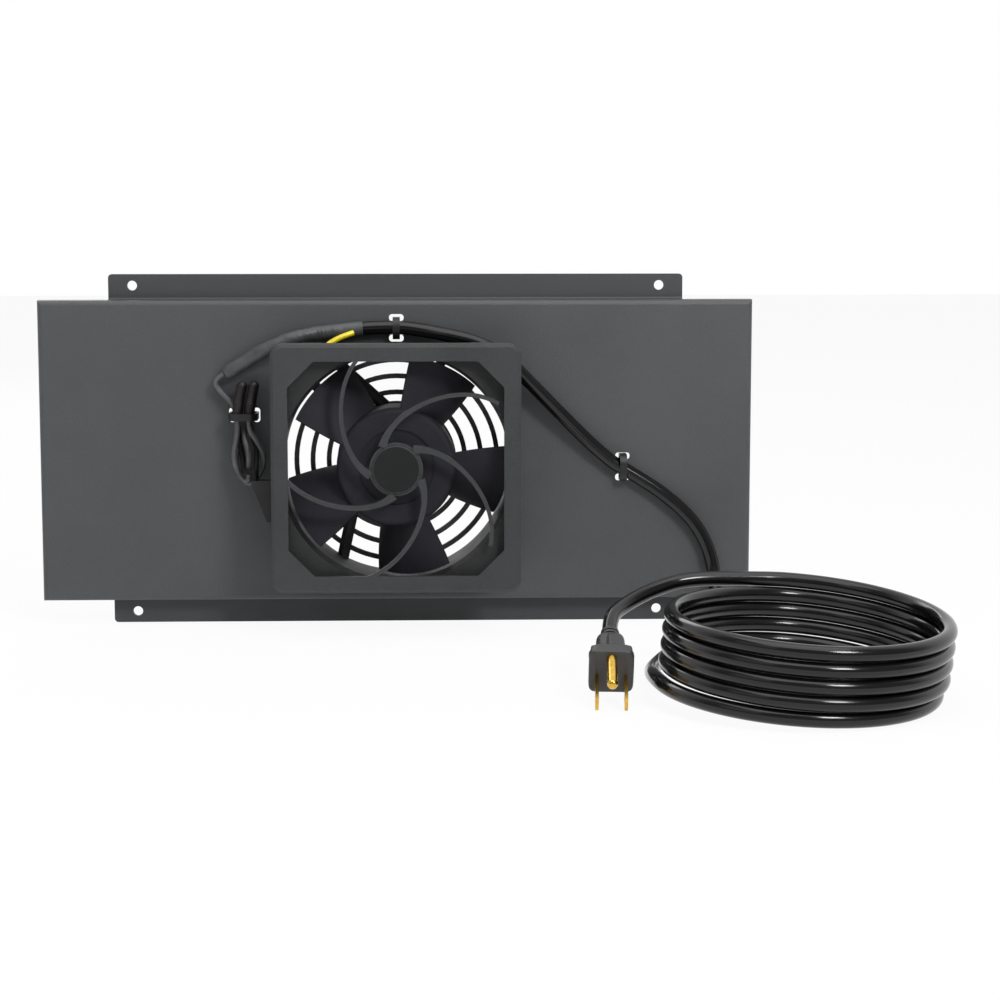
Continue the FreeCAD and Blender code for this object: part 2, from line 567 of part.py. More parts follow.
def fan_screws():
    """Thread-forming screws from the rear of the panel into the fan's rear flange."""
    screws = []
    head_face = FACE_Y + SHEET
    for x, z in corner_points(FAN_HOLE_SPACING, FAN_HOLE_SPACING, FAN_Z):
        shank = cylinder_y(SCREW_SHANK / 2, FACE_Y - FAN_FLANGE + SCREW_POINT, head_face, x, z)
        head = cylinder_y(SCREW_HEAD / 2, head_face, head_face + SCREW_HEAD_HEIGHT, x, z)
        rim = [edge for edge in head.Edges if edge.CenterOfMass.y > head_face + 1
               and len(edge.Vertexes) == 1]
        head = head.makeFillet(SCREW_HEAD_HEIGHT * SCREW_RECESS_ARM, rim)
        screw = shank.fuse(head)
        for turn in (0, 90):
            arm = SCREW_HEAD * SCREW_RECESS_ARM
            bar = Part.makeBox(arm, SCREW_RECESS, SCREW_RECESS_WIDTH)
            bar.translate(Vector(-arm / 2, head_face + SCREW_HEAD_HEIGHT - SCREW_RECESS,
                                 -SCREW_RECESS_WIDTH / 2))
            bar.rotate(Vector(0, 0, 0), Vector(0, 1, 0), turn)
            bar.translate(Vector(x, 0, z))
            screw = screw.cut(bar)
        screws.append(screw)
    return Part.makeCompound(screws)


# ---- impeller and motor ----
def blade_section(distance):
    """Cambered blade section in a flat plane at a distance from the axis."""
    share = (distance - HUB_RADIUS) / (TIP_RADIUS - HUB_RADIUS)
    edge_radius = distance / math.cos(math.radians(BLADE_HALF_ANGLE))
    lead = BLADE_LEAD_ROOT + BLADE_LEAD_TURN * (edge_radius - HUB_RADIUS)
    trail = BLADE_TRAIL_ROOT + BLADE_TRAIL_TURN * (edge_radius - HUB_RADIUS)
    middle = (lead + trail) / 2
    half = distance * math.tan(math.radians((trail - lead) / 2))
    axial = BLADE_ROOT_AXIAL + share * (BLADE_TIP_AXIAL - BLADE_ROOT_AXIAL)
    inset = BLADE_FRONT_INSET + (BLADE_ROOT_AXIAL - axial) / 2
    thickness = BLADE_ROOT_THICKNESS + share * (BLADE_TIP_THICKNESS - BLADE_ROOT_THICKNESS)
    radial = polar(1, middle) - polar(0, middle)
    across = radial.cross(Vector(0, 1, 0)) * -1
    centre = polar(distance, middle)
    front = centre - across * half + Vector(0, HUB_FACE + inset, 0)
    rear = centre + across * half + Vector(0, HUB_FACE + inset + axial, 0)
    chord = rear - front
    bow = chord.cross(radial).normalize()
    if bow.y > 0:
        bow = bow * -1
    skin = bow * (thickness / 2)
    edge = skin * BLADE_EDGE
    crown = (front + rear) * 0.5 + bow * (BLADE_CAMBER * chord.Length)
    edges = [Part.Arc(front + edge, crown + skin, rear + edge).toShape(),
             Part.LineSegment(rear + edge, rear - edge).toShape(),
             Part.Arc(rear - edge, crown - skin, front - edge).toShape(),
             Part.LineSegment(front - edge, front + edge).toShape()]
    return Part.Wire(edges)


def impeller():
    """Hub cup and swept blades, trimmed to the tip circle."""
    span = TIP_RADIUS - HUB_RADIUS
    distances = [HUB_RADIUS + share * span for share in BLADE_STATIONS]
    blade = Part.makeLoft([blade_section(distance) for distance in distances], True)
    trim = ring_y(TIP_RADIUS, HUB_RADIUS - HUB_WALL / 2, HUB_FACE, HUB_REAR)
    blade = blade.common(trim)
    cup = cylinder_y(HUB_RADIUS, HUB_FACE, HUB_REAR)
    front_edge = [edge for edge in cup.Edges if abs(edge.CenterOfMass.y - HUB_FACE) < 1e-6
                  and len(edge.Vertexes) == 1]
    cup = cup.makeFillet(HUB_ROUND, front_edge)
    cup = cup.cut(cylinder_y(HUB_DIMPLE_RADIUS, HUB_FACE - 1, HUB_FACE + HUB_DIMPLE))
    cup = cup.cut(cylinder_y(HUB_RADIUS - HUB_WALL, HUB_FACE + HUB_WALL + HUB_DIMPLE, HUB_REAR + 1))
    boss_front = HUB_FACE + HUB_WALL
    boss = cylinder_y(SHAFT_BOSS_RADIUS, boss_front, boss_front + SHAFT_BOSS_LENGTH)
    blades = [about_axis(blade, i * 360 / BLADE_COUNT) for i in range(BLADE_COUNT)]
    wheel = cup.fuse(blades + [boss])
    socket_end = boss_front + SHAFT_BOSS_LENGTH
    return wheel.cut(cylinder_y(SHAFT_RADIUS, socket_end - SHAFT_SEAT, socket_end + 1))


def shaft_span():
    """Front end of the shaft, rear face of the rear bearing and rear end of the shaft."""
    front = HUB_FACE + HUB_WALL + SHAFT_BOSS_LENGTH - SHAFT_SEAT
    return front, REAR_BEARING_FACE, REAR_BEARING_FACE + CLIP_THICKNESS + SHAFT_END


def rotor_shaft():
    front, seat, end = shaft_span()
    shaft = cylinder_y(SHAFT_RADIUS, front, end)
    rim = [edge for edge in shaft.Edges if len(edge.Vertexes) == 1 and edge.CenterOfMass.y > end - 1e-3]
    shaft = shaft.makeChamfer(SHAFT_BEVEL, rim)
    groove = seat + CLIP_PLAY
    return shaft.cut(ring_y(SHAFT_RADIUS + 1, SHAFT_RADIUS - CLIP_GROOVE, groove, groove + CLIP_THICKNESS))


def shaft_clip():
    seat = shaft_span()[1] + CLIP_PLAY
    clip = ring_y(CLIP_RADIUS, SHAFT_RADIUS - CLIP_GROOVE, seat, seat + CLIP_THICKNESS)
    mouth = Part.makeBox(CLIP_OPENING, CLIP_THICKNESS + 2, CLIP_RADIUS + 1,
                         Vector(-CLIP_OPENING / 2, seat - 1, FAN_Z - CLIP_RADIUS - 1))
    return clip.cut(mouth)


def bearing(face):
    """Ball bearing as one solid, with a shallow step at its shields."""
    body = ring_y(BEARING_RADIUS, BORE_RADIUS, face, face + BEARING_WIDTH)
    for front in (face, face + BEARING_WIDTH - BEARING_SHIELD_STEP):
        body = body.cut(ring_y(BEARING_RADIUS - BEARING_RIM, BEARING_INNER_RACE, front,
                               front + BEARING_SHIELD_STEP))
    return body


def stator_core():
    """Lamination stack with four wound poles."""
    core = ring_y(STATOR_RADIUS, BEARING_TUBE_RADIUS, STATOR_FRONT, STATOR_REAR)
    slot = Part.makeBox(STATOR_RADIUS, STATOR_STACK, STATOR_SLOT_WIDTH,
                        Vector(STATOR_YOKE_RADIUS, STATOR_FRONT, FAN_Z - STATOR_SLOT_WIDTH / 2))
    room = ring_y(STATOR_TIP_RADIUS, STATOR_YOKE_RADIUS, STATOR_FRONT, STATOR_REAR)
    for i in range(STATOR_POLES):
        pole = Part.makeBox(STATOR_RADIUS, STATOR_STACK, STATOR_POLE_WIDTH,
                            Vector(0, STATOR_FRONT, FAN_Z - STATOR_POLE_WIDTH / 2))
        room = room.cut(about_axis(pole, i * 360 / STATOR_POLES))
    slots = [about_axis(slot, (i + 0.5) * 360 / STATOR_POLES) for i in range(STATOR_POLES)]
    return core.cut(slots + room.Solids)


def stator_windings():
    """One coil of wire round each pole."""
    coils = []
    inner = STATOR_POLE_WIDTH / 2 + WINDING_CLEARANCE
    start = STATOR_YOKE_RADIUS + WINDING_CLEARANCE
    outside = inner + WINDING_THICKNESS
    length = math.sqrt((STATOR_TIP_RADIUS - WINDING_CLEARANCE) ** 2 - outside ** 2) - start
    front = STATOR_FRONT - WINDING_OVERHANG
    depth = STATOR_STACK + 2 * WINDING_OVERHANG
    for i in range(STATOR_POLES):
        outer = Part.makeBox(length, depth, 2 * outside, Vector(start, front, FAN_Z - outside))
        corners = [edge for edge in outer.Edges if abs(edge.tangentAt(edge.FirstParameter).x) > 0.99]
        outer = outer.makeFillet(WINDING_THICKNESS * 0.8, corners)
        hole = Part.makeBox(length, STATOR_STACK + 2 * WINDING_CLEARANCE, 2 * inner,
                            Vector(start, STATOR_FRONT - WINDING_CLEARANCE, FAN_Z - inner))
        coils.append(about_axis(outer.cut(hole), i * 360 / STATOR_POLES))
    return Part.makeCompound(coils)


def rotor_ring():
    """Squirrel-cage ring pressed into the hub."""
    return ring_y(HUB_RADIUS - HUB_WALL, STATOR_RADIUS + AIR_GAP, STATOR_FRONT - CAGE_OVERHANG,
                  STATOR_REAR + CAGE_OVERHANG)


def terminal_root():
    """Left face of the terminal block."""
    duct_edge = -math.sqrt((DUCT_RADIUS + DUCT_WALL / 2) ** 2 - TERMINAL_Z ** 2)
    return duct_edge - TERMINAL_BLOCK[0]


def fan_terminals():
    tabs = []
    x = terminal_root()
    for side in (-0.5, 0.5):
        y = FACE_Y - TERMINAL_DEPTH + side * TERMINAL_SPACING
        tab = Part.makeBox(TERMINAL_LENGTH, TERMINAL_THICKNESS, TERMINAL_WIDTH,
                           Vector(x - TERMINAL_LENGTH, y - TERMINAL_THICKNESS / 2,
                                  FAN_Z + TERMINAL_Z - TERMINAL_WIDTH / 2))
        nose = [edge for edge in tab.Edges if abs(edge.tangentAt(edge.FirstParameter).y) > 0.99
                and edge.CenterOfMass.x < x - TERMINAL_LENGTH + 1e-3]
        tabs.append(tab.makeChamfer(TERMINAL_NOSE, nose))
    return Part.makeCompound(tabs)


# ---- guard ----
def guard_spoke():
    """One tapered spiral spoke from the centre disc to the frame."""
    left = []
    right = []
    start = GUARD_HUB_RADIUS + SPOKE_ROOT
    reach = GUARD_OPENING / 2 + SPOKE_LANDING - start
    centre = [polar(start + share * reach, angle, GUARD_FACE) for share, angle, width in SPOKE_LINE]
    for i, point in enumerate(centre):
        before = centre[max(i - 1, 0)]
        after = centre[min(i + 1, len(centre) - 1)]
        side = (after - before).cross(Vector(0, 1, 0)).normalize() * (SPOKE_LINE[i][2] / 2)
        left.append(point + side)
        right.append(point - side)
    edge_left = Part.BSplineCurve()
    edge_left.interpolate(left)
    edge_right = Part.BSplineCurve()
    edge_right.interpolate(right)
    wire = Part.Wire([edge_left.toShape(), Part.LineSegment(left[-1], right[-1]).toShape(),
                      edge_right.toShape().reversed(), Part.LineSegment(right[0], left[0]).toShape()])
    return extrude(wire, Vector(0, SPOKE_DEPTH, 0))


def guard_opening(front, rear):
    """Square opening with cut corners."""
    half = GUARD_OPENING / 2
    near = half - GUARD_OPENING_CHAMFER
    corners = ((half, near), (near, half), (-near, half), (-half, near),
               (-half, -near), (-near, -half), (near, -half), (half, -near))
    points = [Vector(x, front, FAN_Z + z) for x, z in corners]
    return extrude(outline(points, [GUARD_OPENING_ROUND] * len(points)), Vector(0, rear - front, 0))


def fan_guard():
    skirt_rear = HOUSING_FRONT + FAN_FLANGE + HOOK_GAP
    frame = rectangle_y(GUARD_SIZE, GUARD_SIZE, GUARD_CORNER, GUARD_FACE, skirt_rear)
    front_edges = [edge for edge in frame.Edges if edge.BoundBox.YMax < GUARD_FACE + 1e-6]
    frame = frame.makeChamfer(GUARD_BEVEL, front_edges)
    inner = GUARD_SIZE - 2 * GUARD_WALL
    frame = frame.cut(rectangle_y(inner, inner, GUARD_CORNER - GUARD_WALL, GUARD_FACE + GUARD_PLATE,
                                  skirt_rear + 1))
    rim = rectangle_y(inner, inner, GUARD_CORNER - GUARD_WALL, GUARD_FACE + GUARD_PLATE, HOUSING_FRONT)
    rim = rim.cut(rectangle_y(inner - 4 * GUARD_SEAT, inner - 4 * GUARD_SEAT, GUARD_CORNER,
                              GUARD_FACE, HOUSING_FRONT + 1))
    frame = frame.fuse(rim)
    frame = frame.cut(guard_opening(GUARD_FACE - 1, GUARD_FACE + GUARD_PLATE + 1))
    spoke = guard_spoke()
    parts = [about_axis(spoke, i * 360 / SPOKE_COUNT) for i in range(SPOKE_COUNT)]
    disc = cylinder_y(GUARD_HUB_RADIUS, GUARD_FACE - GUARD_DISC_RISE, GUARD_FACE + SPOKE_DEPTH)
    rim_edges = [edge for edge in disc.Edges if len(edge.Vertexes) == 1
                 and edge.CenterOfMass.y < GUARD_FACE]
    parts.append(disc.makeFillet(GUARD_DISC_RISE, rim_edges))
    parts.append(cylinder_y(GUARD_BOSS_RADIUS, GUARD_FACE + GUARD_BOSS_INSET,
                            GUARD_FACE + SPOKE_DEPTH))
    frame = frame.fuse(parts)
    hooks = []
    lip_z = FAN_Z + GUARD_SIZE / 2 - GUARD_WALL
    section = ((skirt_rear, GUARD_WALL), (skirt_rear, -HOOK_CATCH), (skirt_rear + HOOK_HEIGHT, 0),
               (skirt_rear + HOOK_HEIGHT, GUARD_WALL))
    for place in (-HOOK_PLACE, HOOK_PLACE):
        points = [Vector(place - HOOK_WIDTH / 2, y, lip_z + rise) for y, rise in section]
        hook = extrude(outline(points, [0] * len(points)), Vector(HOOK_WIDTH, 0, 0))
        hooks += [about_axis(hook, i * 90) for i in range(4)]
    return frame.fuse(hooks).removeSplitter()


# ---- ties ----
def tie(width, front, corner, upright):
    """Closed strap through both slots, with its head behind the panel.

    width is between the strap's inner faces, front its inner face before the lead and corner
    the round there."""
    rear = FACE_Y + SHEET + TIE_BEHIND
    half = width / 2
    outer = half + TIE_THICKNESS

    def loop(reach, first, last, radius):
        points = [Vector(-TIE_WIDTH / 2, first, -reach), Vector(-TIE_WIDTH / 2, last, -reach),
                  Vector(-TIE_WIDTH / 2, last, reach), Vector(-TIE_WIDTH / 2, first, reach)]
        return extrude(outline(points, [radius, TIE_FOLD, TIE_FOLD, radius]), Vector(TIE_WIDTH, 0, 0))

    strap = loop(outer, front - TIE_THICKNESS, rear + TIE_THICKNESS, corner + TIE_THICKNESS)
    strap = strap.cut(loop(half, front, rear, corner))
    head = Part.makeBox(TIE_HEAD, TIE_HEAD_DEPTH, TIE_HEAD,
                        Vector(-TIE_HEAD / 2, rear + TIE_THICKNESS / 2, -TIE_HEAD / 2))
    far = rear + TIE_HEAD_DEPTH
    head = head.makeChamfer(TIE_HEAD_BEVEL, [edge for edge in head.Edges if edge.CenterOfMass.y > far])
    strap = strap.fuse(head)
    if not upright:
        strap.rotate(Vector(0, 0, 0), Vector(0, 1, 0), 90)
    return strap


def place_tie(centre, width, front, corner, upright):
    strap = tie(width, front, corner, upright)
    strap.translate(Vector(centre[0], 0, centre[1]))
    return strap


# ---- sleeved wires ----
def wire_sleeve():
    """Sleeve round the wires, with a short taper at its lower end."""
    sleeve = tube("wire_sleeve", SLEEVE_ROUTE, SLEEVE)
    end = Vector(*SLEEVE_ROUTE[-1])
    along = (end - Vector(*SLEEVE_ROUTE[-2])).normalize()
    mouth = Part.makeCone(SLEEVE / 2, SLEEVE_MOUTH_RADIUS, SLEEVE_MOUTH, end, along)
    return sleeve.fuse(mouth).removeSplitter()


def mouth_centre():
    end = Vector(*SLEEVE_ROUTE[-1])
    along = (end - Vector(*SLEEVE_ROUTE[-2])).normalize()
    return end + along * SLEEVE_MOUTH, along


def cap_x(side):
    return TIE_LEFT[0] + CAP_ASIDE + side * CAP_SPACING / 2


def splice_caps():
    """Two closed-end connectors, open downwards, with domed tops."""
    caps = []
    for side in (-1, 1):
        cap = Part.makeCylinder(CAP_RADIUS, CAP_LENGTH, Vector(cap_x(side), CAP_Y, CAP_BOTTOM_Z))
        top = [edge for edge in cap.Edges if len(edge.Vertexes) == 1
               and edge.CenterOfMass.z > CAP_BOTTOM_Z + 1]
        caps.append(cap.makeFillet(CAP_RADIUS * CAP_DOME, top))
    return Part.makeCompound(caps)


def cap_entry(side, offset):
    """Where a wire meets a cap, and the point straight below it."""
    y = CAP_Y + offset * CAP_WIRE_OFFSET
    return (cap_x(side), y, CAP_BOTTOM_Z), (cap_x(side), y, CAP_BOTTOM_Z - CAP_WIRE_STRAIGHT)


def supply_wire(name, side, shift, route):
    """Wire from the sleeve's mouth round its loop and up into a cap."""
    mouth, along = mouth_centre()
    start = mouth + Vector(0, shift, 0)
    step = start + along * WIRE_EXIT
    top, below = cap_entry(side, 1)
    return tube(name, [tuple(start), tuple(step)] + list(route) + [below, top], WIRE)


def lead_exit(side):
    """Where a fan lead meets the connector's upper face."""
    size_x, size_y, size_z = CONNECTOR
    x = terminal_root() - CONNECTOR_GAP - size_x / 2
    y = FACE_Y - TERMINAL_DEPTH + side * TERMINAL_SPACING / 2
    return x, y, FAN_Z + TERMINAL_Z + size_z / 2


def fan_lead(name, side, route):
    """Wire from a cap down behind the guard's edge to the fan's connector."""
    top, below = cap_entry(side, -1)
    x, y, z = lead_exit(side)
    return tube(name, [top, below] + list(route) + [(x, y, z + CONNECTOR_WIRE), (x, y, z)], WIRE)


def fan_connector():
    """Angled housing that slides over both terminals."""
    size_x, size_y, size_z = CONNECTOR
    y = FACE_Y - TERMINAL_DEPTH
    z = FAN_Z + TERMINAL_Z
    right = terminal_root() - CONNECTOR_GAP
    left = right - size_x
    front = y - size_y / 2
    low = z - size_z / 2
    high = z + size_z / 2
    across, up = CONNECTOR_BEVEL
    points = [Vector(left + across, front, low), Vector(right, front, low), Vector(right, front, high),
              Vector(left, front, high), Vector(left, front, low + up)]
    body = extrude(outline(points, [CONNECTOR_CORNER] * len(points)), Vector(0, size_y, 0))
    slots = []
    for side in (-0.5, 0.5):
        slots.append(Part.makeBox(TERMINAL_LENGTH + TERMINAL_FIT, TERMINAL_THICKNESS + 2 * TERMINAL_FIT,
                                  TERMINAL_WIDTH + 2 * TERMINAL_FIT,
                                  Vector(right - TERMINAL_LENGTH,
                                         y + side * TERMINAL_SPACING - TERMINAL_THICKNESS / 2 - TERMINAL_FIT,
                                         z - TERMINAL_WIDTH / 2 - TERMINAL_FIT)))
    return body.cut(slots)


# ---- ground connection ----
def ground_frame():
    """Centre of the pad on the duct wall and the direction out of it."""
    out = (polar(1, GROUND_ANGLE) - polar(0, GROUND_ANGLE)).normalize()
    pad = polar(DUCT_RADIUS + DUCT_WALL + GROUND_PAD, GROUND_ANGLE, FACE_Y - GROUND_DEPTH)
    return pad, out


def ground_terminal():
    """Ring terminal flat on the pad, its barrel along the duct wall."""
    pad, out = ground_frame()
    side = out.cross(Vector(0, 1, 0)).normalize() * -1
    ring = Part.makeCylinder(RING_RADIUS, RING_THICKNESS, pad, out)
    neck = Part.makeBox(RING_RADIUS + RING_NECK + 1, RING_NECK_WIDTH, RING_THICKNESS,
                        Vector(0, -RING_NECK_WIDTH / 2, 0))
    matrix = FreeCAD.Matrix(side.x, 0, out.x, pad.x, side.y, 1, out.y, pad.y, side.z, 0, out.z, pad.z)
    neck = neck.transformGeometry(matrix)
    barrel_start = pad + side * (RING_RADIUS + RING_NECK) + out * (RING_THICKNESS / 2 + RING_BARREL_RISE)
    barrel = Part.makeCylinder(RING_BARREL_RADIUS, RING_BARREL, barrel_start, side)
    ring = ring.fuse([neck, barrel])
    hole = GROUND_SCREW / 2 + RING_HOLE_CLEARANCE
    return ring.cut(Part.makeCylinder(hole, RING_THICKNESS + 2, pad - out, out))


def ground_shank():
    """Threaded part of the ground screw, from under its head to the bottom of its hole."""
    pad, out = ground_frame()
    length = RING_THICKNESS + GROUND_THREAD
    return Part.makeCylinder(GROUND_SCREW / 2, length, pad - out * GROUND_THREAD, out)


def ground_screw():
    """Pan-head screw through the ring terminal."""
    pad, out = ground_frame()
    top = pad + out * RING_THICKNESS
    head = Part.makeCylinder(GROUND_HEAD / 2, GROUND_HEAD_HEIGHT, top, out)
    crown = [edge for edge in head.Edges if len(edge.Vertexes) == 1
             and (edge.CenterOfMass - top).dot(out) > GROUND_HEAD_HEIGHT / 2]
    return ground_shank().fuse(head.makeFillet(GROUND_HEAD_HEIGHT * GROUND_CROWN, crown))


def ground_wire():
    pad, out = ground_frame()
    side = out.cross(Vector(0, 1, 0)).normalize() * -1
    end = pad + side * (RING_RADIUS + RING_NECK + RING_BARREL) + out * (RING_THICKNESS / 2 + RING_BARREL_RISE)
    beyond = end + side * GROUND_WIRE_STRAIGHT
    return tube("ground_wire", list(GROUND_ROUTE) + [tuple(beyond), tuple(end)], GROUND_WIRE)


# ---- coil and plug ----
def coil_outline(centre, spread, low, high):
    """Oval round the coil's middle, in a plane that leans from its low side to its high side."""
    radius_x = COIL_RADIUS_X + spread
    radius_y = COIL_RADIUS_Y + spread
    east = math.cos(math.radians(COIL_LEAN))
    north = math.sin(math.radians(COIL_LEAN))
    slope = (high - low) / 2 / math.hypot(radius_x * east, radius_y * north)
    circle = Part.Circle(Vector(0, 0, 0), Vector(0, 0, 1), 1.0).toShape()
    lean = FreeCAD.Matrix(radius_x, 0, 0, centre[0], 0, radius_y, 0, centre[1],
                          radius_x * slope * east, radius_y * slope * north, 1, FLOOR + (low + high) / 2)
    return Part.Wire(circle.transformGeometry(lean).Edges)


def power_cord_coil():
    """Outer shape of the loose coil: a leaning oval ring whose low side lies on the floor."""
    ring = []
    for spread in (COIL_SPREAD, -COIL_CORE):
        bottom = coil_outline(COIL_BOTTOM, spread, 0, COIL_LIFT)
        top = coil_outline(COIL_TOP, spread, COIL_LOW, COIL_HIGH)
        ring.append(Part.makeLoft([bottom, top], True))
    return ring[0].cut(ring[1])


def plug_place(shape):
    """Move a piece drawn about the Y axis, nose towards -Y, to the end of the tail."""
    end = Vector(*TAIL_ROUTE[-1])
    along = (end - Vector(*TAIL_ROUTE[-2])).normalize()
    placed = shape.copy()
    placed.Placement = FreeCAD.Placement(end, FreeCAD.Rotation(Vector(0, -1, 0), along))
    return placed


def plug_section(width, height, corner, y):
    points = [Vector(-width / 2, y, -height / 2), Vector(width / 2, y, -height / 2),
              Vector(width / 2, y, height / 2), Vector(-width / 2, y, height / 2)]
    return outline(points, [corner] * 4)


def strain_relief():
    """Tapered, ribbed collar behind the plug."""
    relief = Part.makeCone(RELIEF_RADIUS_REAR, RELIEF_RADIUS_FRONT, RELIEF_LENGTH, Vector(0, 0, 0),
                           Vector(0, -1, 0))
    grooves = []
    pitch = RELIEF_LENGTH / (RELIEF_GROOVES + 1)
    half = RELIEF_GROOVE_WIDTH / 2
    for i in range(1, RELIEF_GROOVES + 1):
        grooves.append(ring_y(RELIEF_RADIUS_FRONT + 1, CORD / 2 + RELIEF_GROOVE_FLOOR,
                              -i * pitch - half, half - i * pitch, 0, 0))
    return plug_place(relief.cut(grooves))


def plug_body():
    """Moulded body: a ribbed grip that swells at a shoulder to a flat-faced block."""
    rear = -RELIEF_LENGTH
    waist = rear - PLUG_NECK_LENGTH
    shoulder = waist - PLUG_SHOULDER
    front = plug_front()
    tail = PLUG_NECK_WIDTH - PLUG_NECK_TAPER
    tail_section = plug_section(tail, tail, PLUG_NECK_CORNER, rear)
    waist_section = plug_section(PLUG_NECK_WIDTH, PLUG_NECK_WIDTH, PLUG_NECK_CORNER, waist)
    face_section = plug_section(PLUG_BODY_WIDTH, PLUG_BODY_HEIGHT, PLUG_BODY_CORNER, shoulder)
    block = extrude(face_section, Vector(0, front - shoulder, 0))
    rim = [edge for edge in block.Edges if edge.BoundBox.YMax < front + 1e-6]
    block = block.makeFillet(PLUG_BODY_ROUND, rim)
    pieces = [Part.makeLoft([tail_section, waist_section], True),
              Part.makeLoft([waist_section, face_section], True)]
    for i in range(PLUG_GRIP_RIBS):
        y = waist + PLUG_RIB_PITCH * (i + 0.5)
        width = PLUG_NECK_WIDTH + 2 * PLUG_RIB
        height = PLUG_NECK_WIDTH - 2 * PLUG_NECK_CORNER
        pieces.append(Part.makeBox(width, PLUG_RIB_PITCH / 2, height, Vector(-width / 2, y, -height / 2)))
    sockets = [plug_blade(side) for side in (-1, 1)] + [pin_solid()]
    return plug_place(block.fuse(pieces).cut(sockets))


def plug_front():
    return -RELIEF_LENGTH - PLUG_NECK_LENGTH - PLUG_BODY_LENGTH


def plug_blade(side):
    """Flat blade with a chamfered tip and a cross hole."""
    tip = plug_front() - PRONG_LENGTH
    blade = Part.makeBox(BLADE_THICKNESS, PRONG_LENGTH + PRONG_SEAT, BLADE_HEIGHT,
                         Vector(side * BLADE_SPACING / 2 - BLADE_THICKNESS / 2, tip,
                                -BLADE_DROP - BLADE_HEIGHT / 2))
    ends = [edge for edge in blade.Edges if edge.CenterOfMass.y < tip + 1e-6
            and abs(edge.tangentAt(edge.FirstParameter).z) > 0.99]
    blade = blade.makeChamfer(PRONG_BEVEL, ends)
    hole = Part.makeCylinder(PRONG_HOLE / 2, BLADE_SPACING,
                             Vector(-BLADE_SPACING, tip + PRONG_HOLE_INSET, -BLADE_DROP), Vector(1, 0, 0))
    hole.translate(Vector(BLADE_SPACING / 2 + side * BLADE_SPACING / 2, 0, 0))
    return blade.cut(hole)


def pin_solid():
    """Round ground pin with a domed tip."""
    tip = plug_front() - PRONG_LENGTH - PIN_EXTRA
    pin = cylinder_y(PIN_DIAMETER / 2, tip, plug_front() + PRONG_SEAT, 0, PIN_RISE)
    rim = [edge for edge in pin.Edges if len(edge.Vertexes) == 1 and edge.CenterOfMass.y < tip + 1e-6]
    return pin.makeFillet(PIN_DIAMETER * 0.42, rim)


def save(name, shape):
    if len(shape.Solids) == 1:
        shape = shape.Solids[0]
    print(name, "solids", len(shape.Solids), "valid", shape.isValid(), "volume", round(shape.Volume, 1),
          "z", round(shape.BoundBox.ZMin, 2), round(shape.BoundBox.ZMax, 2))
    shape.exportStep("parts/" + name + ".step")


os.makedirs("parts", exist_ok=True)

save("tray_panel", tray_panel())
save("fan_housing", fan_housing())
save("fan_screws", fan_screws())
save("impeller", impeller())
save("rotor_ring", rotor_ring())
save("rotor_shaft", rotor_shaft())
save("shaft_clip", shaft_clip())
save("front_bearing", bearing(FRONT_BEARING_FACE))
save("rear_bearing", bearing(REAR_BEARING_FACE - BEARING_WIDTH))
save("stator_core", stator_core())
save("stator_windings", stator_windings())
save("fan_terminals", fan_terminals())
save("fan_guard", fan_guard())

cord_front = FACE_Y - CORD - 1.2
save("cable_tie_top", place_tie(TIE_TOP, TIE_TOP_SPAN - 1.6, cord_front, CORD / 2, True))
save("cable_tie_right", place_tie(TIE_RIGHT, TIE_RIGHT_SPAN + 0.6, cord_front, CORD / 2, True))
save("cable_tie_left", place_tie(TIE_LEFT, TIE_LEFT_SPAN, CAP_Y - CAP_RADIUS - 0.5,
                                CAP_RADIUS, False))

save("wire_sleeve", wire_sleeve())
save("splice_caps", splice_caps())
save("supply_wire_line", supply_wire("supply_wire_line", 1, WIRE_PAIR, SUPPLY_LINE_ROUTE))
save("supply_wire_neutral", supply_wire("supply_wire_neutral", -1, -WIRE_PAIR, SUPPLY_NEUTRAL_ROUTE))
save("fan_lead_line", fan_lead("fan_lead_line", 1, FAN_LINE_ROUTE))
save("fan_lead_neutral", fan_lead("fan_lead_neutral", -1, FAN_NEUTRAL_ROUTE))
save("fan_connector", fan_connector())
save("ground_terminal", ground_terminal())
save("ground_screw", ground_screw())
save("ground_wire", ground_wire())

coil = power_cord_coil()
save("power_cord_coil", coil)
save("power_cord_lead", tube("power_cord_lead", LEAD_ROUTE, CORD).cut(coil))
save("power_cord_tail", tube("power_cord_tail", TAIL_ROUTE, CORD).cut(coil))
save("strain_relief", strain_relief())
save("plug_body", plug_body())
save("plug_blades", Part.makeCompound([plug_place(plug_blade(side)) for side in (-1, 1)]))
save("plug_ground_pin", plug_place(pin_solid()))
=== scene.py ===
import math

import bpy
import mathutils
import numpy as np
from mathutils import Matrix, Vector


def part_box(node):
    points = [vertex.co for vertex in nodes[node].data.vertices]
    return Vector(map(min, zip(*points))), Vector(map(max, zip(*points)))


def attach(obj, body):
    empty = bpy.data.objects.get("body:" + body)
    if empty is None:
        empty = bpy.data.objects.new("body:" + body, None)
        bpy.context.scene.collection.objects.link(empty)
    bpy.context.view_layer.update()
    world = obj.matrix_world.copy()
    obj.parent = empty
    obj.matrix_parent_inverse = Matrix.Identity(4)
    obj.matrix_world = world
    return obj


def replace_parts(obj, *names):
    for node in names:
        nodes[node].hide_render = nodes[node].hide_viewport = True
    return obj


# Rack fan tray: looks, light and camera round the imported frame.  Sizes and places named below are
# in millimetres, and MM scales them to metres; the floor, the lamps and the depths of bumps are in
# metres as they are.
MM = 0.001

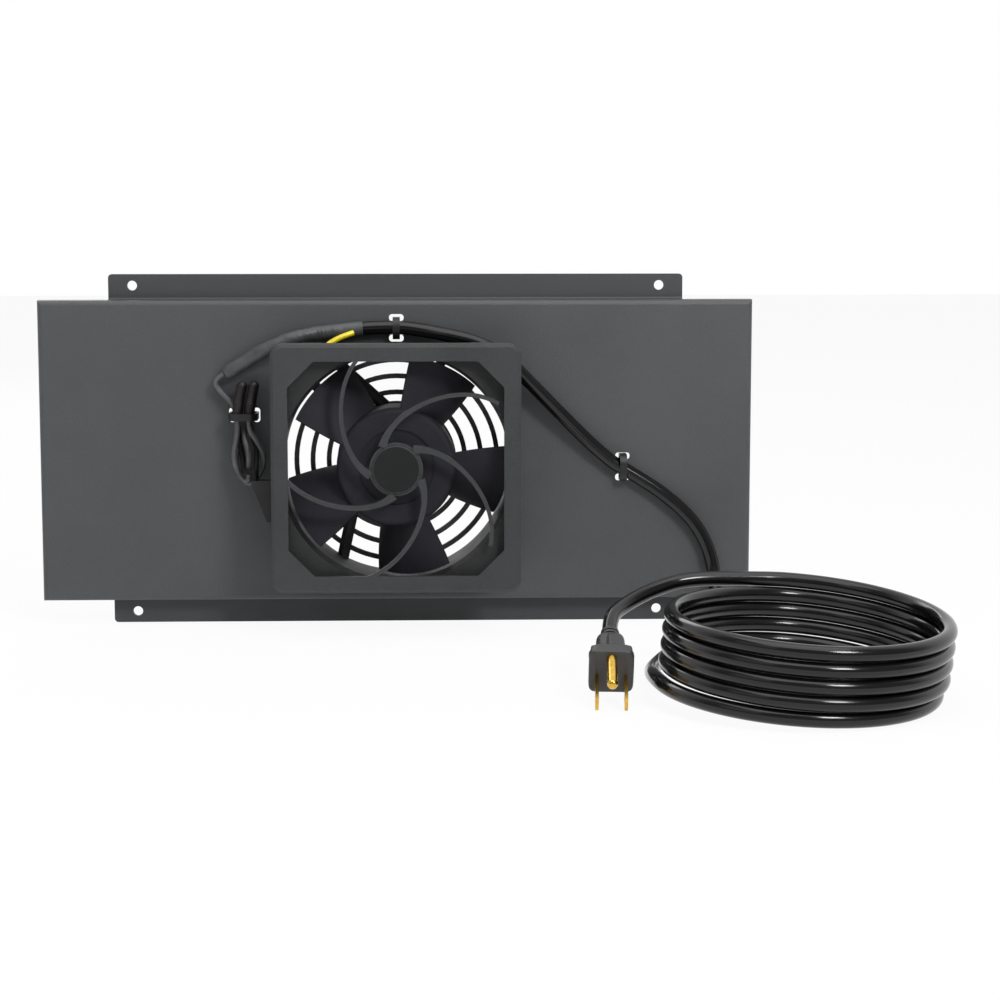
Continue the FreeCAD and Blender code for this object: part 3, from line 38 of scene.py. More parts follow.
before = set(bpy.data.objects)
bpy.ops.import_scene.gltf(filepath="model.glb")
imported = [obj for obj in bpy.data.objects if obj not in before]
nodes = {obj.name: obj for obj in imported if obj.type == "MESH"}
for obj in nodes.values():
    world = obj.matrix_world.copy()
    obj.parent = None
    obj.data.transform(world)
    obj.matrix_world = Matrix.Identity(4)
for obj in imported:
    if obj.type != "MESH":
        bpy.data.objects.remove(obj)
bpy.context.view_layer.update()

# ---- places taken from the frame ----
panel_low, panel_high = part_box("tray_panel")
fan_low, fan_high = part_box("fan_housing")
FLOOR = panel_low.z
FAN_TOP = fan_high.z / MM
FAN_SIDE = fan_high.x / MM
FAN_Z = FAN_TOP - FAN_SIDE
BODY_HEIGHT = 155.0                    # raised body of the panel
FLANGE_SHADE_DEPTHS = (-6.0, -3.0)           # between these the coat goes over to the painted shade of the recessed flanges
DISC_RADIUS = 11.6                     # polished part of the guard's centre disc, which also gets the painted dark reflection
DISC_RIM = 0.4                         # width over which the polish begins
DISC_GLOSS = 0.3                       # shares of the guard's roughness
DISC_GRAIN = 0.05                      # and of its grain that are left there

# ---- lead ----
CORD = 7.0
CORD_STEPS = 10                        # between two points of the spline
CORD_ARC_STEPS = 8                     # in each quarter of its section
COIL_TURNS = 4.75
COIL_STEPS = 16                        # points in each turn
COIL_RADIUS_X = 60.7
COIL_RADIUS_Y = 64.5
COIL_FIRST_IN = (1.6, 4.0)             # the first turn is drawn in by this much across and in depth
COIL_START_X = 174.6                   # middle of the coil where it begins,
COIL_SETTLE_X = 4.8                    # how far it moves across at first,
COIL_SETTLE_TURNS = 0.4                # within about this part of a turn,
COIL_CREEP_X = 0.75                    # and how far in every turn
COIL_LOOSEN_TURNS = 0.7                # part of a turn in which the drawn-in start widens
COIL_Y = -208.3
COIL_RISE = 1.3                        # height of the centre line where the coil begins,
                                       # without its lean
COIL_LIFT = 11.0                       # how far the turns lean up over the lead
COIL_LEAN = math.radians(140.0)
COIL_FLAT = 0.07                       # the turns are pressed in by this share
COIL_FLAT_AT = math.radians(130.0)     # round this place, where the tail passes over them
COIL_FLAT_POWER = 6                    # how narrow the pressed stretch is
COIL_SPACING = 7.04                    # from one turn to the next above it
LEAD_ROUTE = ((-17.0, -16.2, FAN_TOP + 7.95), (-2.0, -16.2, FAN_TOP + 9.0),
              (14.0, -17.0, FAN_TOP + 7.05), (28.0, -21.8, FAN_TOP + 4.55),
              (42.0, -23.8, FAN_TOP + 1.15), (FAN_SIDE - 5.75, -24.0, FAN_TOP - 5.25),
              (FAN_SIDE + 5.25, -22.5, FAN_TOP - 16.25), (106.0, -16.0, -3.0),
              (121.0, -15.9, -11.6), (138.0, -15.8, -22.4), (153.5, -15.9, -36.5),
              (161.8, -16.2, -52.0), (164.5, -19.0, -68.0), (163.5, -29.0, -81.5),
              (160.0, -45.0, -86.9), (149.1, -75.1, -86.9), (135.1, -103.9, -86.9),
              (124.2, -134.0, -86.9), (117.1, -167.3, -84.6))
TAIL_ROUTE = ((167.0, -143.9, -46.2), (136.0, -143.9, -46.0), (119.0, -151.2, -50.0),
              (105.3, -162.8, -54.8), (97.2, -175.8, -58.4), (96.6, -187.1, -63.58))

# ---- sleeve ----
SLEEVE = 7.8
SLEEVE_WALL_SHRINK = 0.22              # mean wall lies this far inside the sleeve's radius
SLEEVE_MOUTH = 3.0                     # length of the tapered mouth
SLEEVE_MOUTH_TAPER = 0.24              # share of the radius lost there
SLEEVE_ROW = 0.35                      # from one ring to the next
SLEEVE_COLUMNS = 48
SLEEVE_ROUTE = (LEAD_ROUTE[0], (-34.0, -16.2, FAN_TOP + 6.76),
                (9.75 - FAN_SIDE, -20.3, FAN_TOP + 4.55),
                (-5.25 - FAN_SIDE, -21.2, FAN_TOP - 1.35),
                (-15.75 - FAN_SIDE, -18.0, FAN_TOP - 7.65),
                (-25.45 - FAN_SIDE, -18.0, FAN_TOP - 13.35))
SLOW_WAVE = (0.10, 0.37)               # height, and radians per millimetre along the sleeve
SHORT_WAVE = (0.06, 0.83)
WIRE_DENT = 0.16                       # depth of the hollow between the two wires inside
SIDE_DENT = 0.05
SHARP_BEND = 110.0                     # curvature per metre at which the sleeve counts as folded
FOLD_CREASE = (0.28, 3.1)              # likewise, of the creases in the fold
FOLD_SINK = 0.35                       # how far the inside of the fold sinks
FINE_CREASE = (0.05, 2.1)

# ---- plug ----
PLUG_REAR = 7.0                        # from the end of the tail
PLUG_FRONT = 30.0
PLUG_RIM = 1.2                         # round of the front face's rim
PLUG_RIM_STEPS = 6
PLUG_ROWS = 60                         # sections from the rear to the rim
PLUG_COLUMNS = 96
PLUG_FACE_RINGS = (0.7, 0.35)          # shares of the rim's size
# place, half width, half height and the exponent of its superelliptic section
PLUG_PROFILE = ((7.0, 5.3, 5.2, 2.8), (7.6, 6.1, 5.9, 2.8), (8.6, 6.4, 6.2, 2.8),
                (20.4, 6.9, 6.5, 2.8), (21.2, 7.6, 7.6, 3.4), (22.6, 9.0, 9.9, 5.0),
                (24.0, 9.6, 10.8, 6.5), (30.0, 10.0, 11.2, 7.0))
GRIP_RIB = 1.7                         # height of the rib along the grip
GRIP_RIB_WIDTH = 0.22                  # radians
GRIP_RIB_RUN = (9.0, 3.0, 24.0, 4.0)   # where it starts, its rise, where it ends, its fall
FINE_RIB = 0.35                        # height of the ribs on the block's upper corners
FINE_RIB_COUNT = 22                    # if they ran all the way round
FINE_RIB_CORNER = 0.95                 # radians from the top to the middle of each ribbed corner
FINE_RIB_WIDTH = 0.3
FINE_RIB_RUN = (22.5, 1.5, 28.3, 1.2)

# ---- wires at the left tie ----
WIRE = 2.8
WIRE_STEPS = 12
WIRE_ARC_STEPS = 5
CAP_MIDDLE_X = -77.9                   # middle of the two caps at their mouths
CAP_SPACING = 6.0
CAP_Y = -23.4
CAP_MOUTH_Z = 16.6
CAP_LENGTH = 20.5
CAP_RADIUS = 2.95
CAP_SKIRT = 0.2                        # how far the mouth flares,
CAP_SKIRT_HEIGHT = 2.0                 # over this height
CAP_WALL = 0.55
CAP_BORE = 3.0                         # how deep the mouth is open
CAP_CRIMP = 0.45                       # depth of the two crimp dents
CAP_CRIMP_AT = 9.0                     # above the mouth
CAP_CRIMP_HEIGHT = 1.5
CAP_LEAN = 3.0                         # how far a cap's tip leans to the right
CAP_LEAN_FROM = 3.5                    # above the mouth
CAP_ROWS = 58
CAP_BORE_ROWS = 7
CAP_COLUMNS = 40
CAP_A = CAP_MIDDLE_X - CAP_SPACING / 2
CAP_B = CAP_MIDDLE_X + CAP_SPACING / 2
CAP_WIRE_OFFSET = 1.5                  # of each wire, before or behind the cap's middle
WIRE_END_Z = CAP_MOUTH_Z + 0.4
FRONT_WIRE_Y = CAP_Y - CAP_WIRE_OFFSET
REAR_WIRE_Y = CAP_Y + CAP_WIRE_OFFSET
# The supply wires leave the sleeve's mouth, pass the tie, hang in a loop that comes to a point and
# turn up into the caps; the fan's leads run from the caps down between them to its connector, and
# their dark, dull wires fill the gaps between the strands as painted shade.
SUPPLY_LINE_ROUTE = ((-87.8, -16.55, 40.4), (-93.4, -16.5, 37.0), (-91.0, -15.6, 32.5),
                     (-83.4, -15.2, 24.0), (-78.6, -15.8, 14.5), (-81.2, -17.6, 3.0),
                     (-82.6, -19.0, -6.0), (-79.8, -20.4, -12.6), (-75.6, -21.8, -16.2),
                     (-71.2, -22.2, -12.6), (-68.2, -22.8, -7.4), (-67.4, -23.4, -0.5),
                     (-71.6, -25.4, 7.5), (CAP_B, FRONT_WIRE_Y, 12.0),
                     (CAP_B, FRONT_WIRE_Y, WIRE_END_Z))
SUPPLY_NEUTRAL_ROUTE = ((-87.8, -19.45, 40.4), (-93.2, -19.4, 37.4), (-90.2, -18.8, 32.0),
                        (-82.2, -18.4, 23.5), (-77.9, -18.6, 14.5), (-77.7, -23.4, 8.5),
                        (-75.0, -27.6, 2.0), (-74.8, -27.8, -7.0), (-75.6, -25.0, -15.4),
                        (-81.4, -23.4, -9.5), (-83.2, -24.0, -1.0), (-81.6, FRONT_WIRE_Y, 7.0),
                        (CAP_A, FRONT_WIRE_Y, 12.0), (CAP_A, FRONT_WIRE_Y, WIRE_END_Z))
FAN_LINE_ROUTE = ((CAP_B, REAR_WIRE_Y, WIRE_END_Z), (-74.4, -21.8, 10.5), (-71.2, -22.0, 3.5),
                  (-71.6, -24.8, -3.5), (-71.3, -31.0, -6.6), (-71.25, -31.0, -12.2))
FAN_NEUTRAL_ROUTE = ((CAP_A, REAR_WIRE_Y, WIRE_END_Z), (CAP_A, -21.7, 10.0), (-79.9, -21.2, 4.0),
                     (-78.4, -21.8, -3.0), (-78.2, -25.2, -6.6), (-77.9, -29.2, -8.4),
                     (-74.9, -33.6, -8.4), (-71.4, -37.0, -7.4), (-71.25, -37.0, -12.2))

# ---- light and camera ----
CAMERA_PLACE = (12.64, -1250.0, 132.65)
CAMERA_YAW = 0.03266                   # towards +X
CAMERA_PITCH = 0.12717                 # downwards
CAMERA_LENS = 86.92
SENSOR = 36.0
WHITE = (1.0, 1.0, 1.0, 1.0)
WORLD_STRENGTH = 0.27
FLOOR_HALF = 4.0                       # metres from the middle of the floor to its edge
FLOOR_GAP = 0.0002                     # between the object's lowest place and the floor
FLOOR_GLOW = 0.93                      # share of white that the camera sees over its own shading
WHITE_BEHIND = (-0.1, 0.3)             # along Y, glossy rays begin to see white between these
# name, place, point it faces, width and power
LAMPS = (("key_box", (0.6, -1.15, 0.8), (0.03, 0.0, -0.02), 0.32, 9.5),
         ("fill_box", (-1.0, -1.1, 0.7), (0.0, 0.0, -0.02), 0.9, 1.0),
         ("top_box", (0.0, -0.55, 1.35), (0.0, -0.1, 0.0), 1.5, 14.0),
         ("rear_box", (-0.5, 1.3, 0.9), (0.0, 0.0, 0.0), 0.9, 7.0))

# ---- materials ----
SPECKLE_SCALE = 900.0                  # of the fine specks in every surface's colour
COAT_ROUGHNESS = 0.1
MIX_FIRST, MIX_SECOND, MIX_COLOUR = 6, 7, 2     # colour sockets of a Mix node


# ---- building blocks for materials ----
def link(tree, source, target):
    tree.links.new(source, target)


def add(tree, kind, **values):
    node = tree.nodes.new(kind)
    for name, value in values.items():
        setattr(node, name, value)
    return node


def feed(tree, socket, value):
    """Set a socket to a number or a tuple, or link another socket to it."""
    if isinstance(value, bpy.types.NodeSocket):
        link(tree, value, socket)
    else:
        socket.default_value = value


def maths(tree, operation, first, second, kind="ShaderNodeMath"):
    """Math node on sockets or numbers; returns its output."""
    node = add(tree, kind, operation=operation)
    feed(tree, node.inputs[0], first)
    feed(tree, node.inputs[1], second)
    return node.outputs[0]


def vector_maths(tree, operation, first, second):
    return maths(tree, operation, first, second, "ShaderNodeVectorMath")


def own_place(tree):
    """Place on the object, in its own coordinates."""
    return add(tree, "ShaderNodeTexCoord").outputs["Object"]


def split(tree, vector):
    """The three numbers of a vector."""
    node = add(tree, "ShaderNodeSeparateXYZ")
    link(tree, vector, node.inputs[0])
    return node.outputs


def new_group(name, inputs, outputs):
    """Empty shader group; inputs and outputs are (name, socket type, value) rows."""
    tree = bpy.data.node_groups.new(name, "ShaderNodeTree")
    for label, kind, value in inputs:
        socket = tree.interface.new_socket(label, in_out="INPUT", socket_type="NodeSocket" + kind)
        socket.default_value = value
    for label, kind in outputs:
        tree.interface.new_socket(label, in_out="OUTPUT", socket_type="NodeSocket" + kind)
    return tree, add(tree, "NodeGroupInput"), add(tree, "NodeGroupOutput")


def noise(tree, vector, scale, detail=4.0, rough=0.6):
    node = add(tree, "ShaderNodeTexNoise")
    node.inputs["Detail"].default_value = detail
    node.inputs["Roughness"].default_value = rough
    feed(tree, node.inputs["Scale"], scale)
    link(tree, vector, node.inputs["Vector"])
    return node.outputs["Fac"]


def remap(tree, value, low, high, to_low=0.0, to_high=1.0):
    node = add(tree, "ShaderNodeMapRange")
    link(tree, value, node.inputs["Value"])
    for slot, number in enumerate((low, high, to_low, to_high)):
        feed(tree, node.inputs[slot + 1], number)
    return node.outputs["Result"]


def blend_colours(tree, share, first, second):
    node = add(tree, "ShaderNodeMix", data_type="RGBA")
    link(tree, share, node.inputs["Factor"])
    link(tree, first, node.inputs[MIX_FIRST])
    link(tree, second, node.inputs[MIX_SECOND])
    return node.outputs[MIX_COLOUR]


def mottle_group():
    """Soft clouds between two colours, with a finer speckle laid over them."""
    tree, source, result = new_group(
        "mottled tone",
        [("Deep", "Color", (0.1, 0.1, 0.1, 1)), ("Pale", "Color", (0.2, 0.2, 0.2, 1)),
         ("Cloud Scale", "Float", 30.0), ("Speckle Scale", "Float", 900.0),
         ("Speckle", "Float", 0.3)],
        [("Color", "Color"), ("Mask", "Float")])
    place = own_place(tree)
    clouds = noise(tree, place, source.outputs["Cloud Scale"])
    specks = noise(tree, place, source.outputs["Speckle Scale"], 2.0)
    specks = maths(tree, "MULTIPLY", maths(tree, "SUBTRACT", specks, 0.5),
                   source.outputs["Speckle"])
    mask = remap(tree, maths(tree, "ADD", clouds, specks), 0.32, 0.68)
    link(tree, blend_colours(tree, mask, source.outputs["Deep"], source.outputs["Pale"]),
         result.inputs["Color"])
    link(tree, mask, result.inputs["Mask"])
    return tree


def grain_group():
    """Pebbled height: fine noise over rounded cells, as on a textured coat or an eroded mould."""
    tree, source, result = new_group(
        "pebble grain",
        [("Scale", "Float", 1200.0), ("Cells", "Float", 0.5), ("Stretch", "Vector", (1, 1, 1))],
        [("Height", "Float")])
    place = own_place(tree)
    stretched = vector_maths(tree, "MULTIPLY", place, source.outputs["Stretch"])
    fine = noise(tree, stretched, source.outputs["Scale"], 3.0)
    cells = add(tree, "ShaderNodeTexVoronoi", feature="SMOOTH_F1")
    link(tree, stretched, cells.inputs["Vector"])
    link(tree, source.outputs["Scale"], cells.inputs["Scale"])
    height = maths(tree, "ADD", fine,
                   maths(tree, "MULTIPLY", cells.outputs["Distance"], source.outputs["Cells"]))
    link(tree, height, result.inputs["Height"])
    return tree


def handling_group():
    """Roughness that drifts between two values, in smears and prints a few centimetres long."""
    tree, source, result = new_group(
        "handling marks",
        [("Smooth", "Float", 0.35), ("Dull", "Float", 0.5), ("Scale", "Float", 25.0)],
        [("Roughness", "Float")])
    place = own_place(tree)
    broad = noise(tree, place, source.outputs["Scale"])
    streaked = vector_maths(tree, "MULTIPLY", place, (1.0, 1.0, 7.0))
    wiped = noise(tree, streaked, source.outputs["Scale"], 6.0)
    mixed = maths(tree, "ADD", maths(tree, "MULTIPLY", broad, 0.6),
                  maths(tree, "MULTIPLY", wiped, 0.4))
    link(tree, remap(tree, mixed, 0.38, 0.62, source.outputs["Smooth"], source.outputs["Dull"]),
         result.inputs["Roughness"])
    return tree


def edge_highlight_group():
    """Painted highlight: mask that is 1 along the edges of an upright box and fades over a
    width, broken up by noise.

    The distance to the nearest face is taken along each axis; the smallest of the larger value in
    each pair is the distance to the nearest edge."""
    tree, source, result = new_group(
        "painted edge highlight",
        [("Low", "Vector", (0, 0, 0)), ("High", "Vector", (1, 1, 1)), ("Width", "Float", 0.001),
         ("Patches", "Float", 60.0)],
        [("Mask", "Float")])
    place = own_place(tree)
    from_low = vector_maths(tree, "SUBTRACT", place, source.outputs["Low"])
    from_high = vector_maths(tree, "SUBTRACT", source.outputs["High"], place)
    x, y, z = split(tree, vector_maths(tree, "MINIMUM", from_low, from_high))
    nearest = maths(tree, "MINIMUM", maths(tree, "MAXIMUM", x, y), maths(tree, "MAXIMUM", y, z))
    nearest = maths(tree, "MINIMUM", nearest, maths(tree, "MAXIMUM", x, z))
    rim = remap(tree, nearest, source.outputs["Width"], 0.0)
    patches = remap(tree, noise(tree, place, source.outputs["Patches"]), 0.3, 0.62, 0.35, 1.0)
    link(tree, maths(tree, "MULTIPLY", rim, patches), result.inputs["Mask"])
    return tree


MOTTLE = mottle_group()
EDGE_HIGHLIGHT = edge_highlight_group()
GRAIN = grain_group()
HANDLING = handling_group()


def use(tree, group, **values):
    """Place a group in a material and set its inputs, whose spaces are written as underscores."""
    node = add(tree, "ShaderNodeGroup", node_tree=group)
    for name, value in values.items():
        node.inputs[name.replace("_", " ")].default_value = value
    return node


def rgb(red, green, blue):
    """Linear colour from display values 0 to 255."""
    def linear(value):
        share = value / 255
        return share / 12.92 if share <= 0.04045 else ((share + 0.055) / 1.055) ** 2.4
    return linear(red), linear(green), linear(blue), 1.0


def finish(name, deep, pale, smooth, dull, grain_scale, grain_depth, cloud_scale=30.0, speckle=0.3,
           cells=0.5, stretch=(1, 1, 1), metallic=0.0, specular=0.5, coat=0.0):
    """Surface with mottled colour, drifting gloss and a pebbled bump grain_depth metres deep.

    The colours deep and pale are display values; smooth and dull are the ends of its roughness."""
    material = bpy.data.materials.new(name)
    material.use_nodes = True
    tree = material.node_tree
    shader = tree.nodes["Principled BSDF"]
    tone = use(tree, MOTTLE, Deep=rgb(*deep), Pale=rgb(*pale), Cloud_Scale=cloud_scale,
               Speckle_Scale=SPECKLE_SCALE, Speckle=speckle)
    gloss = use(tree, HANDLING, Smooth=smooth, Dull=dull)
    grain = use(tree, GRAIN, Scale=grain_scale, Cells=cells, Stretch=stretch)
    bump = add(tree, "ShaderNodeBump")
    bump.inputs["Distance"].default_value = grain_depth
    link(tree, grain.outputs["Height"], bump.inputs["Height"])
    link(tree, tone.outputs["Color"], shader.inputs["Base Color"])
    link(tree, gloss.outputs["Roughness"], shader.inputs["Roughness"])
    link(tree, bump.outputs["Normal"], shader.inputs["Normal"])
    shader.inputs["Metallic"].default_value = metallic
    shader.inputs["Specular IOR Level"].default_value = specular
    shader.inputs["Coat Weight"].default_value = coat
    shader.inputs["Coat Roughness"].default_value = COAT_ROUGHNESS
    return material


def source_of(socket):
    """Output that feeds a linked input."""
    return socket.links[0].from_socket


def tint(tree, shader, mask, colour, share):
    """Lay another colour over the base colour, as much as the mask and a share of it say."""
    overlay = add(tree, "ShaderNodeRGB").outputs[0]
    overlay.default_value = rgb(*colour)
    base = shader.inputs["Base Color"]
    cover = maths(tree, "MULTIPLY", mask, share)
    link(tree, blend_colours(tree, cover, source_of(base), overlay), base)


def paint_edge_highlight(material, low, high, width, colour, share):
    """Painted highlight: paler colour along the edges of a box."""
    tree = material.node_tree
    edge_highlight = use(tree, EDGE_HIGHLIGHT, Low=low, High=high, Width=width)
    tint(tree, tree.nodes["Principled BSDF"], edge_highlight.outputs["Mask"], colour, share)
    return material


# ---- finishes ----
def powder_coat():
    """Charcoal coat, with a painted highlight along the raised body's edges and painted shade on
    the recessed flanges.
    """
    material = finish("charcoal powder coat", (68, 70, 72), (75, 77, 79), 0.45, 0.55,
                      1500.0, 0.00006, cloud_scale=12.0, speckle=0.5)
    tree = material.node_tree
    place = own_place(tree)
    flange_shade = remap(tree, split(tree, place)["Y"], *(depth * MM for depth in FLANGE_SHADE_DEPTHS))
    # painted shade: the recessed flanges are tinted darker, as they lie in the body's shade
    tint(tree, tree.nodes["Principled BSDF"], flange_shade, (61, 63, 65), 0.9)
    half = BODY_HEIGHT / 2 * MM
    low = (panel_low.x, panel_low.y, -half)
    high = (panel_high.x, 1.0, half)          # open to the rear, so that no rear edge gets the painted highlight
    # painted highlight: paler colour along the raised body's edges, where the bends catch the light
    return paint_edge_highlight(material, low, high, 0.0011, (112, 114, 115), 0.8)


def die_cast_black():
    """Coated casting of the fan's housing, with a painted highlight along the edges of its flanges.
    """
    material = finish("black coated casting", (24, 25, 26), (32, 33, 35), 0.5, 0.65, 700.0, 0.00012)
    # painted highlight: paler colour along the housing's edges
    return paint_edge_highlight(material, tuple(fan_low), tuple(fan_high), 0.0009, (64, 65, 67), 0.7)


def blade_plastic():
    return finish("fan blade plastic", (38, 37, 42), (45, 44, 50), 0.55, 0.68, 500.0, 0.00002,
                  specular=0.15)


def guard_plastic():
    """Fine moulded grain with a painted highlight along the edges; the disc in the middle is
    polished and painted dark, as a painted reflection of the dark room in front.
    """
    material = finish("guard plastic", (56, 57, 58), (63, 64, 65), 0.42, 0.52, 1700.0, 0.00008,
                      speckle=0.5, specular=0.25)
    tree = material.node_tree
    shader = tree.nodes["Principled BSDF"]
    place = own_place(tree)
    across = vector_maths(tree, "MULTIPLY", place, (1.0, 0.0, 1.0))
    across = vector_maths(tree, "SUBTRACT", across, (0.0, 0.0, FAN_Z * MM))
    reach = add(tree, "ShaderNodeVectorMath", operation="LENGTH")
    link(tree, across, reach.inputs[0])
    disc = remap(tree, reach.outputs["Value"], DISC_RADIUS * MM, (DISC_RADIUS - DISC_RIM) * MM)
    # painted reflection: the disc's dark colour stands in for the dark room that it mirrors
    dark_reflection = use(tree, MOTTLE, Deep=rgb(12, 15, 15), Pale=rgb(18, 22, 22), Cloud_Scale=60.0,
                 Speckle_Scale=400.0, Speckle=0.2)
    coat = source_of(shader.inputs["Base Color"])
    link(tree, blend_colours(tree, disc, coat, dark_reflection.outputs["Color"]),
         shader.inputs["Base Color"])
    smoother = remap(tree, disc, 0.0, 1.0, 1.0, DISC_GLOSS)
    gloss = source_of(shader.inputs["Roughness"])
    link(tree, maths(tree, "MULTIPLY", gloss, smoother), shader.inputs["Roughness"])
    flatter = remap(tree, disc, 0.0, 1.0, 1.0, DISC_GRAIN)
    height = source_of(shader.inputs["Normal"]).node.inputs["Height"]
    link(tree, maths(tree, "MULTIPLY", source_of(height), flatter), height)
    low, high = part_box("fan_guard")
    # painted highlight: paler colour along the guard's edges
    return paint_edge_highlight(material, tuple(low), tuple(high), 0.0008, (92, 93, 94), 0.6)


def cord_jacket():
    return finish("glossy black jacket", (9, 9, 10), (15, 15, 16), 0.12, 0.2, 260.0, 0.00003,
                  cells=0.1, cloud_scale=60.0, specular=0.45)


def plug_plastic():
    return finish("moulded plug", (44, 43, 44), (56, 55, 55), 0.34, 0.46, 900.0, 0.00006)


def sleeve_plastic():
    # the pale grey is partly the sleeve's colour and partly a painted highlight for its lit top
    return finish("shrink sleeve", (58, 60, 62), (78, 80, 82), 0.38, 0.5, 350.0, 0.00025,
                  stretch=(1.0, 1.0, 0.4))


def tie_nylon():
    return finish("black tie nylon", (20, 20, 21), (28, 28, 29), 0.35, 0.45, 800.0, 0.0001,
                  stretch=(0.3, 1.0, 2.0))


def cap_nylon():
    return finish("brown cap nylon", (18, 12, 13), (29, 21, 22), 0.4, 0.55, 400.0, 0.00005)


def sheen_painted_wire():
    # the light grey is partly the wires' colour and partly a painted highlight for the sheen along
    # them
    return finish("wire with painted sheen", (70, 70, 72), (92, 92, 94), 0.25, 0.35, 600.0, 0.00003,
                  cloud_scale=120.0)


# Painted shade: these black leads lie in the gaps of the loop and darken them
def shade_filling_wire():
    return finish("black wire as painted shade", (8, 8, 9), (13, 13, 14), 0.6, 0.75, 600.0, 0.00003,
                  specular=0.3)


def wire_ground():
    return finish("yellow ground wire", (214, 190, 10), (250, 230, 20), 0.25, 0.35, 500.0, 0.00003,
                  cloud_scale=120.0)


def connector_nylon():
    # dark nylon; the connector also fills the shaded wedge left of the fan as painted shade
    return finish("grey connector nylon", (26, 25, 28), (36, 35, 38), 0.45, 0.6, 700.0, 0.00006)


def brass():
    return finish("stamped brass", (205, 160, 66), (236, 196, 96), 0.16, 0.3, 900.0, 0.00003,
                  stretch=(1.0, 0.15, 1.0), metallic=1.0, cloud_scale=200.0)


def zinc():
    return finish("zinc plate", (168, 170, 172), (196, 198, 198), 0.25, 0.4, 900.0, 0.00004,
                  metallic=1.0, cloud_scale=150.0)


def ground_steel():
    return finish("ground steel", (150, 152, 155), (184, 186, 188), 0.15, 0.25, 1500.0, 0.00002,
                  stretch=(1.0, 0.1, 1.0), metallic=1.0)


def laminations():
    return finish("stacked laminations", (92, 96, 102), (128, 132, 136), 0.35, 0.5, 700.0, 0.0001,
                  stretch=(0.05, 3.0, 0.05), metallic=0.9)


def copper():
    return finish("enamelled copper", (126, 58, 26), (178, 92, 44), 0.22, 0.34, 500.0, 0.0002,
                  stretch=(0.2, 4.0, 1.0), metallic=0.9, coat=0.5)


def cast_cage():
    return finish("cast rotor cage", (112, 113, 115), (150, 151, 153), 0.4, 0.55, 400.0, 0.0001,
                  metallic=0.9)


def dress(material, *names):
    for name in names:
        mesh = nodes[name].data
        mesh.materials.clear()
        mesh.materials.append(material)


# ---- lead ----
def coil_point(turn):
    """Point of the coil's centre line: an oval helix that leans up over the lead at its back left.

    The first turn starts drawn in and widens; each turn is pressed in where the tail passes over.
    The points stand out by the secant of half a step, because the spline only reaches the middles
    of the lines between them."""
    angle = math.pi + 2 * math.pi * turn
    lift = COIL_LIFT * (0.5 + 0.5 * math.cos(angle - COIL_LEAN))
    height = COIL_RISE + COIL_SPACING * turn + lift
    settled = 1 - math.exp(-turn / COIL_SETTLE_TURNS)
    middle = COIL_START_X + COIL_SETTLE_X * settled + COIL_CREEP_X * turn
    outside = 1 / math.cos(math.pi / COIL_STEPS)
    drawn_in = math.exp(-turn / COIL_LOOSEN_TURNS)
    flat = 1 - COIL_FLAT * max(0.0, math.cos(angle - COIL_FLAT_AT)) ** COIL_FLAT_POWER
    across = (COIL_RADIUS_X - COIL_FIRST_IN[0] * drawn_in) * outside * flat
    deep = (COIL_RADIUS_Y - COIL_FIRST_IN[1] * drawn_in) * outside * flat
    return (middle + across * math.cos(angle), COIL_Y + deep * math.sin(angle),
            FLOOR / MM + height)


def in_scene(name, data):
    """Object at the origin that shows a mesh, curve, lamp or camera."""
    piece = bpy.data.objects.new(name, data)
    bpy.context.scene.collection.objects.link(piece)
    return piece


def spline_curve(name, route, steps):
    """Open spline steered by a route's points, with some steps between each two."""
    curve = bpy.data.curves.new(name, "CURVE")
    curve.dimensions = "3D"
    spline = curve.splines.new("NURBS")
    spline.points.add(len(route) - 1)
    for target, (x, y, z) in zip(spline.points, route):
        target.co = (x * MM, y * MM, z * MM, 1.0)
    spline.order_u = 3
    spline.use_endpoint_u = True
    spline.resolution_u = steps
    return curve


def round_cable(name, route, diameter, steps, arc_steps, material):
    """Spline with a round section, closed at both ends."""
    curve = spline_curve(name, route, steps)
    curve.bevel_depth = diameter / 2 * MM
    curve.bevel_resolution = arc_steps
    curve.use_fill_caps = True
    curve.materials.append(material)
    return in_scene(name, curve)


def power_cord(plug):
    """One spline: the lead down the panel, the coil's turns and the tail to the plug."""
    steps = int(COIL_TURNS * COIL_STEPS)
    coil = [coil_point(step / COIL_STEPS) for step in range(steps + 1)]
    points = list(LEAD_ROUTE) + coil + list(TAIL_ROUTE)
    cord = round_cable("power_cord", points, CORD, CORD_STEPS, CORD_ARC_STEPS, cord_jacket())
    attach(cord, "tray")
    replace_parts(cord, "power_cord_lead", "power_cord_coil", "power_cord_tail")


# ---- closed surfaces ----
def centre_line(route, spread):
    """Evenly spread places along the spline of a route, its points there, and a frame at each.

    The side vector starts level and is carried along with the least turning, so a ring placed in
    each frame doesn't twist."""
    curve = spline_curve("centre_line", route, 40)
    holder = in_scene("centre_line", curve)
    drawn = bpy.data.meshes.new_from_object(holder)
    line = np.empty(len(drawn.vertices) * 3)
    drawn.vertices.foreach_get("co", line)
    line = line.reshape(-1, 3)
    bpy.data.objects.remove(holder)
    bpy.data.curves.remove(curve)
    bpy.data.meshes.remove(drawn)
    step = np.linalg.norm(np.diff(line, axis=0), axis=1)
    run = np.concatenate(([0.0], np.cumsum(step)))
    places = np.arange(0.0, run[-1], spread)
    line = np.stack([np.interp(places, run, line[:, axis]) for axis in range(3)], axis=1)
    along = np.gradient(line, axis=0)
    along /= np.linalg.norm(along, axis=1)[:, None]
    side = np.empty_like(line)
    side[0] = np.cross(along[0], (0.0, 1.0, 0.0))
    for i in range(1, len(line)):
        side[i] = side[i - 1] - along[i] * np.dot(side[i - 1], along[i])
        side[i] /= np.linalg.norm(side[i])
    side[0] /= np.linalg.norm(side[0])
    return places, line, along, side, np.cross(along, side)


